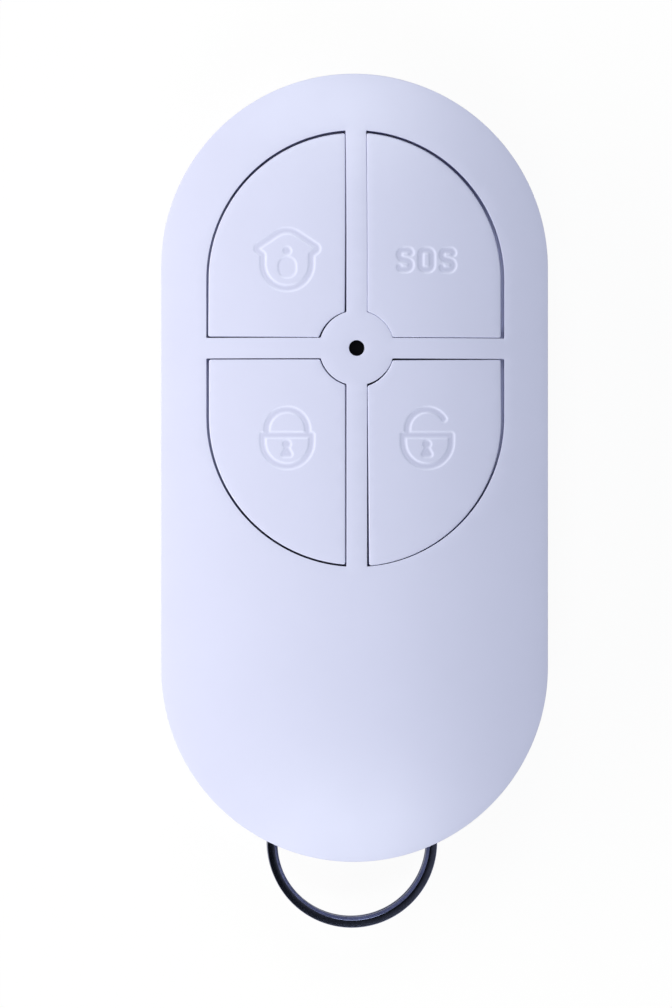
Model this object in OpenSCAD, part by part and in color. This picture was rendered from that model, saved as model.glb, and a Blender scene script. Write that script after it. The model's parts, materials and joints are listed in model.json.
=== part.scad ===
// Alarm key fob: a moulded case in two halves, four push buttons round a hub with an
// indicator window, tactile switches on a circuit board, a coin cell and a split ring.
// The fob lies on its back. Z points out of the front face and Y to the end away from
// the ring. The origin is the middle of the back face. All sizes are in millimetres.

/* [Body] */
// Width across the straight sides
body_w = 37; // [35:0.5:44]
// Length from end to end
body_l = 75.2; // [72:0.2:90]
// Radius of the crown across the front face
crown_r = 64; // [62:1:120]
// Radius of the edge round the front face
front_edge_r = 0.4; // [0.3:0.1:1]
// Draft of the side walls towards the back, in degrees
side_draft = 4; // [0:0.5:5]
// Radius of the edge round the back face
back_edge_r = 1.8; // [0.6:0.1:2.2]
// Thickness of the side walls
side_wall = 1.6; // [1.4:0.1:2]
// Thickness of the front face at the top of its crown
face_t = 2.6; // [2.5:0.1:3.2]
// Thickness of the front face at the edge of its flat ceiling
face_edge_t = 0.7; // [0.5:0.1:0.8]
// Thickness of the back wall
back_wall = 1.6; // [1.2:0.1:2.4]
// Height of the parting line above the back
split_z = 5.4; // [4.8:0.1:5.8]
// Depth of the shadow line round the parting line
reveal_d = 0.25; // [0.1:0.05:0.4]
// Height of the shadow line
reveal_h = 0.35; // [0.2:0.05:0.6]
// Thickness of the lip that locates the two covers
lip_t = 0.75; // [0.5:0.05:0.9]
// Height of the lip
lip_h = 0.8; // [0.4:0.1:1.2]
// Clearance round the lip
lip_fit = 0.05; // [0.02:0.01:0.1]
// Thickness of the wall between the ring chamber and the board
partition_t = 1.2; // [0.8:0.1:2]

/* [Buttons] */
// Width of the field of buttons
field_w = 28.4; // [26:0.1:29]
// Length of the field of buttons
field_l = 41.5; // [38:0.1:43]
// Distance from the top end of the body to the field
field_margin = 5.5; // [5.2:0.1:8]
// Width of the bars between the buttons
bar_w = 1.95; // [1.8:0.05:3]
// Diameter of the hub where the bars cross
hub_d = 7.1; // [6.4:0.1:9]
// Gap between a button and the rim of the field
rim_gap = 0.24; // [0.2:0.02:0.4]
// Gap between a button and the bars or the hub
bar_gap = 0.14; // [0.12:0.02:0.3]
// Reach of a button's flange past its cap
flange_lip = 0.75; // [0.5:0.05:0.8]
// Thickness of a button's flange
flange_t = 1; // [0.8:0.1:1.4]
// Wall round a hollow button cap
cap_wall = 1.1; // [0.9:0.1:1.6]
// Least thickness of the top of a button cap
cap_top = 0.9; // [0.7:0.1:1.1]
// Diameter of the stem that presses a switch
stem_d = 3.2; // [2.6:0.1:4]
// Length of the stem below the flange
stem_h = 0.4; // [0.3:0.1:1.2]
// Thickness of the ribs inside a button cap
rib_t = 0.8; // [0.6:0.1:1.2]

/* [Indicator] */
// Diameter of the indicator hole
window_d = 1.45; // [1.2:0.05:2]
// Clearance round the light guide in its hole
window_fit = 0.03; // [0.01:0.01:0.08]
// Depth of the end of the light guide below the face
window_depth = 0.5; // [0.1:0.1:1]
// Diameter of the flange of the light guide
guide_flange_d = 4; // [3:0.1:4.6]
// Thickness of the flange of the light guide
guide_flange_t = 1; // [0.6:0.1:1.2]
// Diameter of the foot of the light guide
guide_foot_d = 2.4; // [1.8:0.1:2.8]
// Gap between the light guide and the lamp
guide_gap = 0.15; // [0.1:0.05:0.3]
// Length of the indicator lamp
lamp_l = 1.6; // [1:0.1:2]
// Width of the indicator lamp
lamp_w = 0.8; // [0.5:0.1:1.2]
// Length of the clear lens on the indicator lamp
lamp_lens_l = 1; // [0.6:0.1:1]
// Height of the indicator lamp
lamp_h = 0.65; // [0.4:0.05:0.8]

/* [Switches] */
// Distance of the switches from the middle of the field, sideways
switch_dx = 7; // [6:0.1:7.6]
// Distance of the switches from the middle of the field, lengthwise
switch_dy = 8.5; // [7.4:0.1:10]
// Side of a switch
switch_w = 5.2; // [4.5:0.1:6]
// Height of a switch without its plunger
switch_h = 1.5; // [1.4:0.1:2.5]
// Thickness of the metal plate on a switch
plate_t = 0.2; // [0.1:0.05:0.3]
// Diameter of a plunger
plunger_d = 2.5; // [2:0.1:2.8]
// Rise of a plunger above its switch
plunger_h = 0.5; // [0.4:0.05:1]
// Running clearance of a plunger
plunger_fit = 0.05; // [0.02:0.01:0.1]
// Diameter of the collar that holds a plunger in
collar_d = 3.3; // [3.1:0.1:3.6]
// Clearance round the collar in the well of a switch
well_fit = 0.1; // [0.05:0.01:0.15]
// Diameter of the snap dome under a plunger
dome_d = 3.4; // [3:0.1:3.6]
// Thickness of the snap dome
dome_t = 0.1; // [0.05:0.01:0.12]
// Height of the snap dome at rest
dome_h = 0.55; // [0.45:0.05:0.6]
// Length of the terminals of a switch
terminal_l = 0.6; // [0.4:0.1:1]
// Width of the terminals of a switch
terminal_w = 0.7; // [0.5:0.1:1]
// Thickness of the floor of a switch
switch_floor = 0.3; // [0.2:0.05:0.4]

/* [Board] */
// Thickness of the circuit board
board_t = 1; // [0.8:0.1:1.6]
// Clearance round the edge of the board
board_gap = 0.4; // [0.2:0.05:0.6]
// Diameter of the pins that locate the board
pin_d = 1; // [0.8:0.05:1.1]
// Clearance of the pins and screws in the board
hole_fit = 0.1; // [0.05:0.01:0.2]
// Diameter of the standoffs that carry the board
standoff_d = 2; // [1.8:0.1:2.2]
// Angle of the standoffs round the top end
standoff_angle = 62; // [56:1:70]
// Length of the radio chip
chip_l = 6; // [5:0.1:7]
// Width of the radio chip
chip_w = 5; // [4:0.1:5.5]
// Height of the radio chip
chip_h = 1.2; // [0.8:0.1:1.6]
// Thickness of the leads and terminals
lead_t = 0.15; // [0.1:0.01:0.2]
// Width of the chip's leads
lead_w = 0.3; // [0.2:0.05:0.4]
// Reach of the chip's leads
lead_l = 0.9; // [0.6:0.1:1.2]
// Leads along each side of the chip
chip_leads_n = 8; // [4:1:8]
// Length of the crystal
crystal_l = 3.2; // [2.5:0.1:3.6]
// Width of the crystal
crystal_w = 2.5; // [2:0.1:3]
// Length of the small capacitors and resistors
small_l = 1.6; // [1:0.1:2]
// Width of the small capacitors and resistors
small_w = 0.8; // [0.5:0.1:1.2]
// Height of the capacitors
capacitor_h = 0.8; // [0.5:0.05:1]
// Height of the resistors
resistor_h = 0.45; // [0.3:0.05:0.6]
// Gap between the chip's leads and the parts beside it
part_gap = 0.6; // [0.3:0.1:1]
// Gap between the antenna loop and the parts inside it
loop_gap = 0.9; // [0.4:0.1:1.5]
// Width of the gap where the antenna is fed
feed_gap = 1.4; // [1:0.1:2]
// Width of the track of the antenna
track_w = 0.9; // [0.5:0.1:1]
// Thickness of the track
track_t = 0.07; // [0.04:0.01:0.1]

/* [Cell] */
// Diameter of the coin cell
cell_d = 20; // [16:0.5:23]
// Thickness of the coin cell
cell_t = 3.2; // [2:0.1:3.6]
// Radius of the rolled edge of the cell
cell_edge_r = 0.4; // [0.2:0.05:0.6]
// Rise of the cell's cap above its rolled edge
cell_cap_rise = 0.2; // [0.1:0.05:0.3]
// Width of the rim round the cell's cap
cell_rim = 1.1; // [0.8:0.1:1.5]
// Clearance round the cell in its holder
cell_play = 0.15; // [0.1:0.05:0.3]
// Wall of the cell holder
holder_wall = 1; // [0.8:0.1:1.2]
// Angle of the opening that the cell slides in by
holder_opening = 80; // [60:1:100]
// Thickness of the sheet of the cell clip
strap_t = 0.3; // [0.2:0.05:0.4]
// Width of the cell clip
strap_w = 5; // [3:0.5:7]
// Length of the soldered feet of the cell clip
strap_foot_l = 1.2; // [0.8:0.1:2]
// Gap between the cell clip and the holder
leg_gap = 0.05; // [0.02:0.01:0.1]
// Room between the cell clip and the back wall
strap_gap = 0.5; // [0.3:0.1:1]
// Thickness of the plate of the spring contact
contact_t = 0.25; // [0.15:0.05:0.3]
// Side of the plate of the spring contact
contact_w = 7; // [5:0.5:9]
// Diameter of the dimple of the spring contact
dimple_d = 4; // [2:0.5:4.5]
// Height of the spring contact between the board and the cell
contact_h = 0.4; // [0.35:0.05:0.8]

/* [Key ring] */
// Outer diameter of the split ring
ring_od = 16.4; // [15:0.1:17.5]
// Width of the ring's wire
wire_w = 1.2; // [1:0.05:1.4]
// Height of the ring's wire, one turn
wire_h = 1; // [0.8:0.05:1.1]
// Corner radius of the wire on the inside of the ring
wire_inner_r = 0.4; // [0.2:0.05:0.4]
// Corner radius of the wire on the outside of the ring
wire_outer_r = 0.15; // [0.05:0.05:0.35]
// Angle over which the wire steps from one turn to the other
jog_span = 40; // [30:1:50]
// Angle at which that step lies on the ring
jog_at = 40; // [30:1:60]
// Diameter of the post that the ring hangs on
post_d = 3.6; // [3:0.1:4.2]
// Distance of the post from the end of the body
post_inset = 6.6; // [6.2:0.1:8]
// Clearance between the ring and the post
ring_play = 0.1; // [0.05:0.05:0.3]
// Swing of the ring to each side
ring_swing = 36; // [20:1:38]
// Clearance between the ring and its chamber
chamber_gap = 0.4; // [0.3:0.1:1]
// Clearance above and below the ring in the mouth
mouth_gap = 0.3; // [0.2:0.05:0.5]
// Diameter of the spigot that locates the two halves of the post
spigot_d = 1.6; // [1.2:0.1:2]
// Length of the spigot
spigot_h = 1.5; // [1:0.1:2.5]

/* [Screws] */
// Diameter of the case screws
screw_d = 1.9; // [1.6:0.05:2]
// Length of the case screws under the head
screw_l = 8; // [7:0.1:8.2]
// Diameter of the screw heads
head_d = 3.4; // [3:0.1:3.6]
// Height of the screw heads
head_h = 1.1; // [0.8:0.1:1.1]
// Width of the arms of the cross recess
recess_w = 0.5; // [0.3:0.05:0.7]
// Length of the arms of the cross recess
recess_l = 2; // [1.5:0.1:2.4]
// Depth of the cross recess
recess_d = 0.65; // [0.4:0.05:0.7]
// Depth of the screw heads below the back
head_sink = 0.2; // [0.1:0.05:0.2]
// Clearance round the screw heads
head_fit = 0.2; // [0.1:0.05:0.25]
// Clearance of a screw in its pilot hole
pilot_fit = 0.02; // [0.01:0.01:0.04]
// Diameter of the screw bosses
boss_d = 4.4; // [4:0.1:4.6]
// Gap between a screw boss and the side wall
boss_gap = 0.8; // [0.4:0.1:1]
// Distance of the bosses' edge from the end of the board
boss_inset = 1.2; // [0.8:0.1:2]
// Wall of the foot of a boss round the screw head
boss_foot_wall = 1.1; // [0.8:0.1:1.4]

/* [Hidden] */
$fn = 96;

// Colours
white_plastic = [0.88, 0.89, 0.94];
dark_lens = [0.05, 0.05, 0.06];
board_green = [0.08, 0.32, 0.16];
black_plastic = [0.09, 0.09, 0.1];
lamp_white = [0.95, 0.93, 0.8];
tin = [0.78, 0.78, 0.76];
steel = [0.72, 0.73, 0.75];
copper = [0.78, 0.5, 0.24];
ceramic = [0.62, 0.5, 0.36];
black_nickel = [0.12, 0.12, 0.15];

// Overlap of solids that are joined, and overshoot of cuts
join = 0.2;
past = 1;

// Plan of the body
end_r = body_w / 2;
end_y = body_l / 2 - end_r;
inner_r = end_r - side_wall;

// Stack of heights from the back wall to the crown
strap_z = back_wall + strap_gap;
cell_z = strap_z + strap_t;
board_z = cell_z + cell_t + contact_h;
board_top = board_z + board_t;
switch_top = board_top + switch_h;
plunger_top = switch_top + plunger_h;
flange_z = plunger_top + stem_h;
face_under = flange_z + flange_t;
body_t = face_under + face_t;

// Crown and edges of the front face, and the shoulder that thickens it round its flat ceiling
crown_z = body_t - crown_r;
edge_x = end_r - front_edge_r;
edge_z = crown_z + sqrt(pow(crown_r - front_edge_r, 2) - pow(edge_x, 2));
edge_angle = atan2(edge_z - crown_z, edge_x);
shoulder_z = crown_z + sqrt(pow(crown_r, 2) - pow(inner_r, 2)) - side_wall;
ceiling_r = min(inner_r, sqrt(pow(crown_r, 2) - pow(face_under + face_edge_t - crown_z, 2)));

// Field of buttons
field_r = field_w / 2;
field_s = (field_l - field_w) / 2;
field_y = body_l / 2 - field_margin - field_l / 2;
pocket_z = crown_z + sqrt(pow(crown_r, 2) - pow(field_r, 2)) - cap_top;
home = [-1, 1];
sos = [1, 1];
arm = [-1, -1];
disarm = [1, -1];
places = [home, sos, arm, disarm];

// Ring, post and ring chamber
ring_r = ring_od / 2 - wire_w / 2;
pivot_r = ring_od / 2 - wire_w - post_d / 2 - ring_play;
post_y = -body_l / 2 + post_inset;
ring_y = post_y - pivot_r;
mouth_h = 2 * wire_h + 2 * mouth_gap;
mouth_r = mouth_h / 2;
mouth_corner = mouth_r - sqrt(pow(mouth_r, 2) - pow(wire_h, 2));
mouth_w = 2 * (pivot_r * sin(ring_swing) + ring_od / 2 + chamber_gap + mouth_corner);
chamber_y = post_y - pivot_r * cos(ring_swing) + ring_od / 2 + chamber_gap;

// Board and what stands on it
board_r = inner_r - board_gap;
board_y = chamber_y + partition_t + board_gap;
resistor_y = field_y - switch_dy - switch_w;
chip_y = (board_y + resistor_y) / 2;
beside_chip_x = chip_w / 2 + lead_l + part_gap + crystal_w / 2;
standoff_r = inner_r - standoff_d / 2 - board_gap;
standoff_x = standoff_r * cos(standoff_angle);
standoff_y = end_y + standoff_r * sin(standoff_angle);

// Cell holder
holder_r = cell_d / 2 + cell_play + holder_wall;
cell_y = board_y + holder_r;

// Screws
screw_x = inner_r - boss_d / 2 - boss_gap;
screw_y = board_y + boss_d / 2 + boss_inset;
seat_z = head_sink + head_h;
head_hole_d = head_d + 2 * head_fit;
boss_foot_d = head_hole_d + 2 * boss_foot_wall;

// Antenna loop
loop_w = 2 * (beside_chip_x + crystal_w / 2 + loop_gap + track_w);
loop_l = chip_l + crystal_l + 2 * (loop_gap + track_w);

// Points of an arc, in steps
function arc(middle, r, from, to, steps) =
    [for (i = [0 : steps]) let (a = from + (to - from) * i / steps) middle + r * [cos(a), sin(a)]];

// Distance of the drafted side wall from the axis of its section at a height
function wall_r(z) =
    edge_x + front_edge_r / cos(side_draft) - (edge_z - z) * tan(side_draft);

// Half of the body's section, from its axis out, cut at the parting line
front_section = concat(
    [[0, split_z], [wall_r(split_z), split_z]],
    arc([edge_x, edge_z], front_edge_r, -side_draft, edge_angle, 7),
    arc([0, crown_z], crown_r, edge_angle, 90, 10)
);
reveal_z = split_z - reveal_h;
reveal_r = wall_r(reveal_z) - reveal_d;
back_x = wall_r(back_edge_r) - back_edge_r / cos(side_draft);
rear_section = concat(
    [[0, 0]],
    arc([back_x, back_edge_r], back_edge_r, -90, -side_draft, 8),
    [[wall_r(reveal_z), reveal_z], [reveal_r, reveal_z], [reveal_r, split_z], [0, split_z]]
);

// Section of one turn of the ring's wire about its own middle
wire_section = concat(
    arc([wire_w / 2 - wire_outer_r, -wire_h / 2 + wire_outer_r], wire_outer_r, -90, 0, 4),
    arc([wire_w / 2 - wire_outer_r, wire_h / 2 - wire_outer_r], wire_outer_r, 0, 90, 4),
    arc([-wire_w / 2 + wire_inner_r, wire_h / 2 - wire_inner_r], wire_inner_r, 90, 180, 5),
    arc([-wire_w / 2 + wire_inner_r, -wire_h / 2 + wire_inner_r], wire_inner_r, 180, 270, 5)
);

// A half section carried round the outline of the body
module capsule(section) {
    other_half = [for (i = [len(section) - 1 : -1 : 0]) [-section[i][0], section[i][1]]];
    for (turn = [0, 180])
        rotate([0, 0, turn])
            translate([0, end_y, 0])
                rotate_extrude(angle = 180)
                    polygon(section);
    rotate([90, 0, 0])
        linear_extrude(2 * end_y, center = true)
            polygon(concat(section, other_half));
}

// A flat slab with the outline of the body
module slab(r, from, to) {
    capsule([[0, from], [r, from], [r, to], [0, to]]);
}

// Moves a shape of the upper right quarter of the field to another quarter
module to_quarter(place) {
    translate([0, field_y, 0])
        mirror([place[0] < 0 ? 1 : 0, 0, 0])
            mirror([0, place[1] < 0 ? 1 : 0, 0])
                children();
}

// Outline of one quarter of the field, drawn in from its rim and from the bars and hub
module quarter(rim_in, bar_in) {
    r = field_r - rim_in;
    bar = bar_w / 2 + bar_in;
    difference() {
        union() {
            translate([bar, bar])
                square([r - bar, field_s - bar]);
            intersection() {
                translate([0, field_s])
                    circle(r);
                translate([bar, field_s])
                    square(r);
            }
        }
        circle(hub_d / 2 + bar_in);
    }
}

// A prism of one quarter of the field
module quarter_prism(place, rim_in, bar_in, from, to) {
    to_quarter(place)
        translate([0, 0, from])
            linear_extrude(to - from)
                quarter(rim_in, bar_in);
}

// Puts a shape on both sides of the fob
module both_sides(x, y) {
    for (side = [-1, 1])
        translate([side * x, y, 0])
            children();
}

// Puts a shape on the board at a switch
module at_switch(place) {
    translate([place[0] * switch_dx, field_y + place[1] * switch_dy, board_top])
        children();
}

// A cylinder between two heights
module column(d, from, to) {
    translate([0, 0, from])
        cylinder(d = d, h = to - from);
}

// A box that is centred sideways and stands on its base
module block(w, l, h) {
    translate([-w / 2, -l / 2, 0])
        cube([w, l, h]);
}

// The mouth in the end wall that the ring comes out of
module mouth() {
    difference() {
        translate([0, -end_y, split_z])
            rotate([90, 0, 0])
                linear_extrude(end_r + past) {
                    square([mouth_w - mouth_h, mouth_h], center = true);
                    for (side = [-1, 1])
                        translate([side * (mouth_w - mouth_h) / 2, 0])
                            circle(mouth_r);
                }
        slab(inner_r - join, split_z - mouth_h, split_z + mouth_h);
    }
}

// The wall across a cover between the ring chamber and the board
module partition(from, to) {
    intersection() {
        slab(inner_r + join, from, to);
        translate([-end_r, chamber_y, from])
            cube([body_w, partition_t, to - from]);
    }
}

module front_cover() {
    color(white_plastic)
    difference() {
        union() {
            difference() {
                capsule(front_section);
                slab(inner_r, split_z - past, shoulder_z);
                slab(ceiling_r, split_z - past, face_under);
            }
            intersection() {
                capsule(front_section);
                union() {
                    partition(split_z, face_under + join);
                    translate([0, post_y, 0])
                        column(post_d, split_z, face_under + join);
                    both_sides(screw_x, screw_y)
                        column(boss_d, board_top, face_under + join);
                    both_sides(standoff_x, standoff_y) {
                        column(standoff_d, board_top, face_under + join);
                        column(pin_d, board_z + join, board_top + join);
                    }
                }
            }
        }
        for (place = places)
            quarter_prism(place, 0, 0, face_under - past, body_t + past);
        translate([0, field_y, 0])
            column(window_d, face_under - past, body_t + past);
        difference() {
            slab(inner_r + lip_t + lip_fit, split_z - past, split_z + lip_h + lip_fit);
            slab(inner_r, split_z - 2 * past, split_z + lip_h + past);
        }
        mouth();
        translate([0, post_y, 0])
            column(spigot_d + 2 * lip_fit, split_z - past, split_z + spigot_h + lip_fit);
        both_sides(screw_x, screw_y)
            column(screw_d + 2 * pilot_fit, board_top - past, seat_z + screw_l + join);
    }
}

module rear_cover() {
    color(white_plastic)
    difference() {
        union() {
            difference() {
                capsule(rear_section);
                slab(inner_r, back_wall, split_z + past);
            }
            difference() {
                slab(inner_r + lip_t, split_z - join, split_z + lip_h);
                slab(inner_r, split_z - past, split_z + lip_h + past);
            }
            partition(back_wall - join, split_z);
            translate([0, post_y, 0]) {
                column(post_d, back_wall - join, split_z);
                column(spigot_d, split_z - join, split_z + spigot_h);
            }
            both_sides(screw_x, screw_y) {
                column(boss_d, back_wall - join, board_z);
                column(boss_foot_d, back_wall - join, seat_z + back_wall);
            }
            both_sides(standoff_x, standoff_y)
                column(standoff_d, back_wall - join, board_z);
        }
        mouth();
        both_sides(screw_x, screw_y) {
            column(head_hole_d, -past, seat_z);
            column(screw_d + 2 * hole_fit, -past, board_z + past);
        }
    }
}

// A cap that fills its quarter flush with the crown, hollow under its top, with a flange
// that holds it in the face and a ribbed stem over its switch
module button(place) {
    color(white_plastic) {
        difference() {
            union() {
                intersection() {
                    quarter_prism(place, rim_gap, bar_gap, flange_z, body_t + past);
                    capsule(front_section);
                }
                quarter_prism(
                    place, rim_gap - flange_lip, bar_gap - flange_lip, flange_z, face_under
                );
            }
            quarter_prism(
                place, rim_gap + cap_wall, bar_gap + cap_wall, flange_z - past, pocket_z
            );
        }
        at_switch(place)
            column(stem_d, plunger_top - board_top, pocket_z + join - board_top);
        intersection() {
            quarter_prism(
                place, rim_gap + cap_wall - join, bar_gap + cap_wall - join,
                flange_z, pocket_z + join
            );
            at_switch(place)
                translate([0, 0, flange_z - board_top]) {
                    block(rib_t, field_l, field_w);
                    block(field_w, rib_t, field_w);
                }
        }
    }
}

// A stepped light guide: its flange seats under the hub and its tip ends below the face
module indicator_lens() {
    foot_z = board_top + lamp_h + guide_gap;
    tip_r = window_d / 2 - window_fit;
    tip_z = body_t - window_depth;
    color(dark_lens)
    translate([0, field_y, 0])
        rotate_extrude()
            polygon([
                [0, foot_z], [guide_foot_d / 2, foot_z],
                [guide_foot_d / 2, face_under - guide_flange_t],
                [guide_flange_d / 2, face_under - guide_flange_t],
                [guide_flange_d / 2, face_under], [tip_r, face_under], [tip_r, tip_z], [0, tip_z],
            ]);
}

module indicator_led() {
    color(lamp_white)
    translate([0, field_y, board_top]) {
        block(lamp_l, lamp_w, lamp_h / 2);
        block(lamp_lens_l, lamp_w, lamp_h);
    }
}

module circuit_board() {
    color(board_green)
    difference() {
        intersection() {
            slab(board_r, board_z, board_top);
            translate([-end_r, board_y, board_z - past])
                cube([body_w, body_l, board_t + 2 * past]);
        }
        both_sides(screw_x, screw_y)
            column(screw_d + 2 * hole_fit, board_z - past, board_top + past);
        both_sides(standoff_x, standoff_y)
            column(pin_d + 2 * hole_fit, board_z - past, board_top + past);
    }
}

// The plastic box of a switch, with a round well for the dome and the plunger's collar
module switch_base(place) {
    color(black_plastic)
    at_switch(place)
        difference() {
            block(switch_w, switch_w, switch_h - plate_t);
            column(max(collar_d, dome_d) + 2 * well_fit, switch_floor, switch_h);
        }
}

// The metal plate on a switch, with two ears folded down its sides
module switch_plate(place) {
    ear_w = switch_w / 3;
    ear_h = switch_h / 2;
    color(steel)
    at_switch(place)
        difference() {
            union() {
                translate([0, 0, switch_h - plate_t])
                    block(switch_w, switch_w, plate_t);
                for (side = [-1, 1])
                    translate([side * (switch_w + plate_t) / 2, 0, switch_h - ear_h])
                        block(plate_t, ear_w, ear_h);
            }
            column(plunger_d + 2 * plunger_fit, 0, switch_h + past);
        }
}

module switch_plunger(place) {
    collar_z = switch_floor + dome_h;
    collar_top = switch_h - plate_t - plunger_fit;
    color(black_plastic)
    at_switch(place) {
        column(collar_d, collar_z, collar_top);
        column(plunger_d, collar_z, switch_h + plunger_h);
    }
}

// A thin snap dome that stands on the floor of the switch and lifts the plunger
module switch_dome(place) {
    ball_r = (pow(dome_d / 2, 2) + pow(dome_h, 2)) / (2 * dome_h);
    middle = [0, switch_floor + dome_h - ball_r];
    low = ball_r - dome_h;
    color(steel)
    at_switch(place)
        rotate_extrude()
            polygon(concat(
                arc(middle, ball_r, asin(low / ball_r), 90, 8),
                arc(middle, ball_r - dome_t, 90, asin(low / (ball_r - dome_t)), 8)
            ));
}

// Four soldered feet at the corners of each switch
module switch_terminals() {
    color(tin)
    for (place = places, side = [-1, 1], end = [-1, 1])
        at_switch(place)
            translate([end * (switch_w / 2 - terminal_w), side * (switch_w + terminal_l) / 2, 0])
                block(terminal_w, terminal_l, lead_t);
}

module radio_chip() {
    color(black_plastic)
    translate([0, chip_y, board_top])
        block(chip_w, chip_l, chip_h);
}

// Bent leads along both long sides of the chip
module chip_leads() {
    pitch = chip_l / chip_leads_n;
    top_z = chip_h / 2;
    lead = [
        [0, top_z], [0, top_z - lead_t], [lead_t, top_z - lead_t], [2 * lead_t, 0],
        [lead_l, 0], [lead_l, lead_t], [3 * lead_t, lead_t], [2 * lead_t, top_z],
    ];
    color(tin)
    translate([0, chip_y, board_top])
        for (turn = [0, 180], i = [0 : chip_leads_n - 1])
            rotate([0, 0, turn])
                translate([chip_w / 2, pitch * (i + 0.5) - chip_l / 2 + lead_w / 2, 0])
                    rotate([90, 0, 0])
                        linear_extrude(lead_w)
                            polygon(lead);
}

// A metal lid on a ceramic base
module crystal() {
    lid_inset = 0.15;
    base_h = 0.35;
    color(steel)
    translate([beside_chip_x, chip_y + chip_l / 2, board_top]) {
        block(crystal_w, crystal_l, base_h);
        block(crystal_w - 2 * lid_inset, crystal_l - 2 * lid_inset, 2 * base_h);
    }
}

// Small parts in a column on the far side of the chip from the crystal
module chip_capacitors() {
    pitch = 3 * small_w;
    color(ceramic)
    for (i = [-1 : 1])
        translate([-beside_chip_x, chip_y + i * pitch, board_top])
            block(small_l, small_w, capacitor_h);
}

// Small parts in a row beside the switches, one to each button
module chip_resistors() {
    pitch = small_l + small_w;
    color(black_plastic)
    for (i = [-1.5 : 1.5])
        translate([i * pitch, resistor_y, board_top])
            block(small_l, small_w, resistor_h);
}

// A flat track round the chip and its neighbours, open at one corner
module antenna_loop() {
    color(copper)
    translate([0, chip_y, board_top])
        difference() {
            block(loop_w, loop_l, track_t);
            translate([0, 0, -past])
                block(loop_w - 2 * track_w, loop_l - 2 * track_w, 2 * past);
            translate([loop_w / 4, loop_l / 2, -past])
                block(feed_gap, 2 * track_w + past, 2 * past);
        }
}

// A can with a rolled edge, closed by a narrower cap that faces the board
module coin_cell() {
    edge_x = cell_d / 2 - cell_edge_r;
    rim_z = cell_t - cell_cap_rise;
    cap_r = cell_d / 2 - cell_rim;
    color(steel)
    translate([0, cell_y, cell_z])
        rotate_extrude()
            polygon(concat(
                [[0, 0]],
                arc([edge_x, cell_edge_r], cell_edge_r, -90, 0, 4),
                arc([edge_x, rim_z - cell_edge_r], cell_edge_r, 0, 90, 4),
                [[cap_r, rim_z], [cap_r - cell_cap_rise, cell_t], [0, cell_t]]
            ));
}

// A wall round the cell, open towards the buttons so that the cell slides in
module cell_holder() {
    from = cell_z + cell_t / 4;
    color(black_plastic)
    translate([0, cell_y, from])
        rotate([0, 0, 90 + holder_opening / 2])
            rotate_extrude(angle = 360 - holder_opening)
                translate([cell_d / 2 + cell_play, 0])
                    square([holder_wall, board_z - from]);
}

// A strap across the back of the cell, with a leg and a soldered foot at each end
module cell_clip() {
    leg_x = holder_r + leg_gap;
    color(steel)
    translate([0, cell_y, strap_z]) {
        block(2 * leg_x + 2 * strap_t, strap_w, strap_t);
        for (side = [-1, 1]) {
            translate([side * (leg_x + strap_t / 2), 0, 0])
                block(strap_t, strap_w, board_z - strap_z);
            translate([side * (leg_x + strap_foot_l / 2), 0, board_z - strap_z - strap_t])
                block(strap_foot_l, strap_w, strap_t);
        }
    }
}

// A plate under the board with a pressed dimple that bears on the cell
module cell_spring_contact() {
    color(steel)
    translate([0, cell_y, board_z - contact_h]) {
        translate([0, 0, contact_h - contact_t])
            block(contact_w, contact_w, contact_t);
        cylinder(d1 = dimple_d / 2, d2 = dimple_d, h = contact_h);
    }
}

// Two turns of wire pressed together, joined by a step, with a free end on each side of it
module split_ring() {
    overlap_angle = 3;
    tilt = asin(wire_h / 2 / (ring_r * sin(jog_span / 2 + overlap_angle)));
    color(black_nickel)
    translate([0, ring_y, split_z])
        rotate([0, 0, jog_at]) {
            rotate([0, 0, jog_span / 2])
                rotate_extrude(angle = 360 - jog_span)
                    for (turn = [-1, 1])
                        translate([ring_r, turn * wire_h / 2])
                            polygon(wire_section);
            rotate([tilt, 0, 0])
                rotate([0, 0, -jog_span / 2 - overlap_angle])
                    rotate_extrude(angle = jog_span + 2 * overlap_angle)
                        translate([ring_r, 0])
                            polygon(wire_section);
        }
}

// Pan-head screws with a cross recess, driven in from the back
module case_screws() {
    color(steel)
    both_sides(screw_x, screw_y)
        difference() {
            union() {
                column(head_d, head_sink, seat_z);
                column(screw_d, seat_z - join, seat_z + screw_l);
            }
            for (turn = [0, 90])
                rotate([0, 0, turn])
                    translate([0, 0, head_sink - past])
                        block(recess_w, recess_l, recess_d + past);
        }
}

front_cover();
rear_cover();
button(home);  // home_button
button(sos);  // sos_button
button(arm);  // arm_button
button(disarm);  // disarm_button
indicator_lens();
indicator_led();
circuit_board();
switch_base(home);  // home_switch_base
switch_base(sos);  // sos_switch_base
switch_base(arm);  // arm_switch_base
switch_base(disarm);  // disarm_switch_base
switch_plate(home);  // home_switch_plate
switch_plate(sos);  // sos_switch_plate
switch_plate(arm);  // arm_switch_plate
switch_plate(disarm);  // disarm_switch_plate
switch_plunger(home);  // home_switch_plunger
switch_plunger(sos);  // sos_switch_plunger
switch_plunger(arm);  // arm_switch_plunger
switch_plunger(disarm);  // disarm_switch_plunger
switch_dome(home);  // home_switch_dome
switch_dome(sos);  // sos_switch_dome
switch_dome(arm);  // arm_switch_dome
switch_dome(disarm);  // disarm_switch_dome
switch_terminals();
radio_chip();
chip_leads();
crystal();
chip_capacitors();
chip_resistors();
antenna_loop();
coin_cell();
cell_holder();
cell_clip();
cell_spring_contact();
split_ring();
case_screws();
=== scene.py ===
"""Alarm key fob: two moulded shells, four caps with sunk signs, a split ring and the back's screws.

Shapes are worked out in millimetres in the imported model's own frame, and become metres when a mesh is made.
"""

import json
from math import acos, atan2, cos, pi, radians, sin, sqrt, tan

import bmesh
import bpy
import numpy as np
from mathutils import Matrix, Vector
from mathutils.geometry import delaunay_2d_cdt


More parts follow.
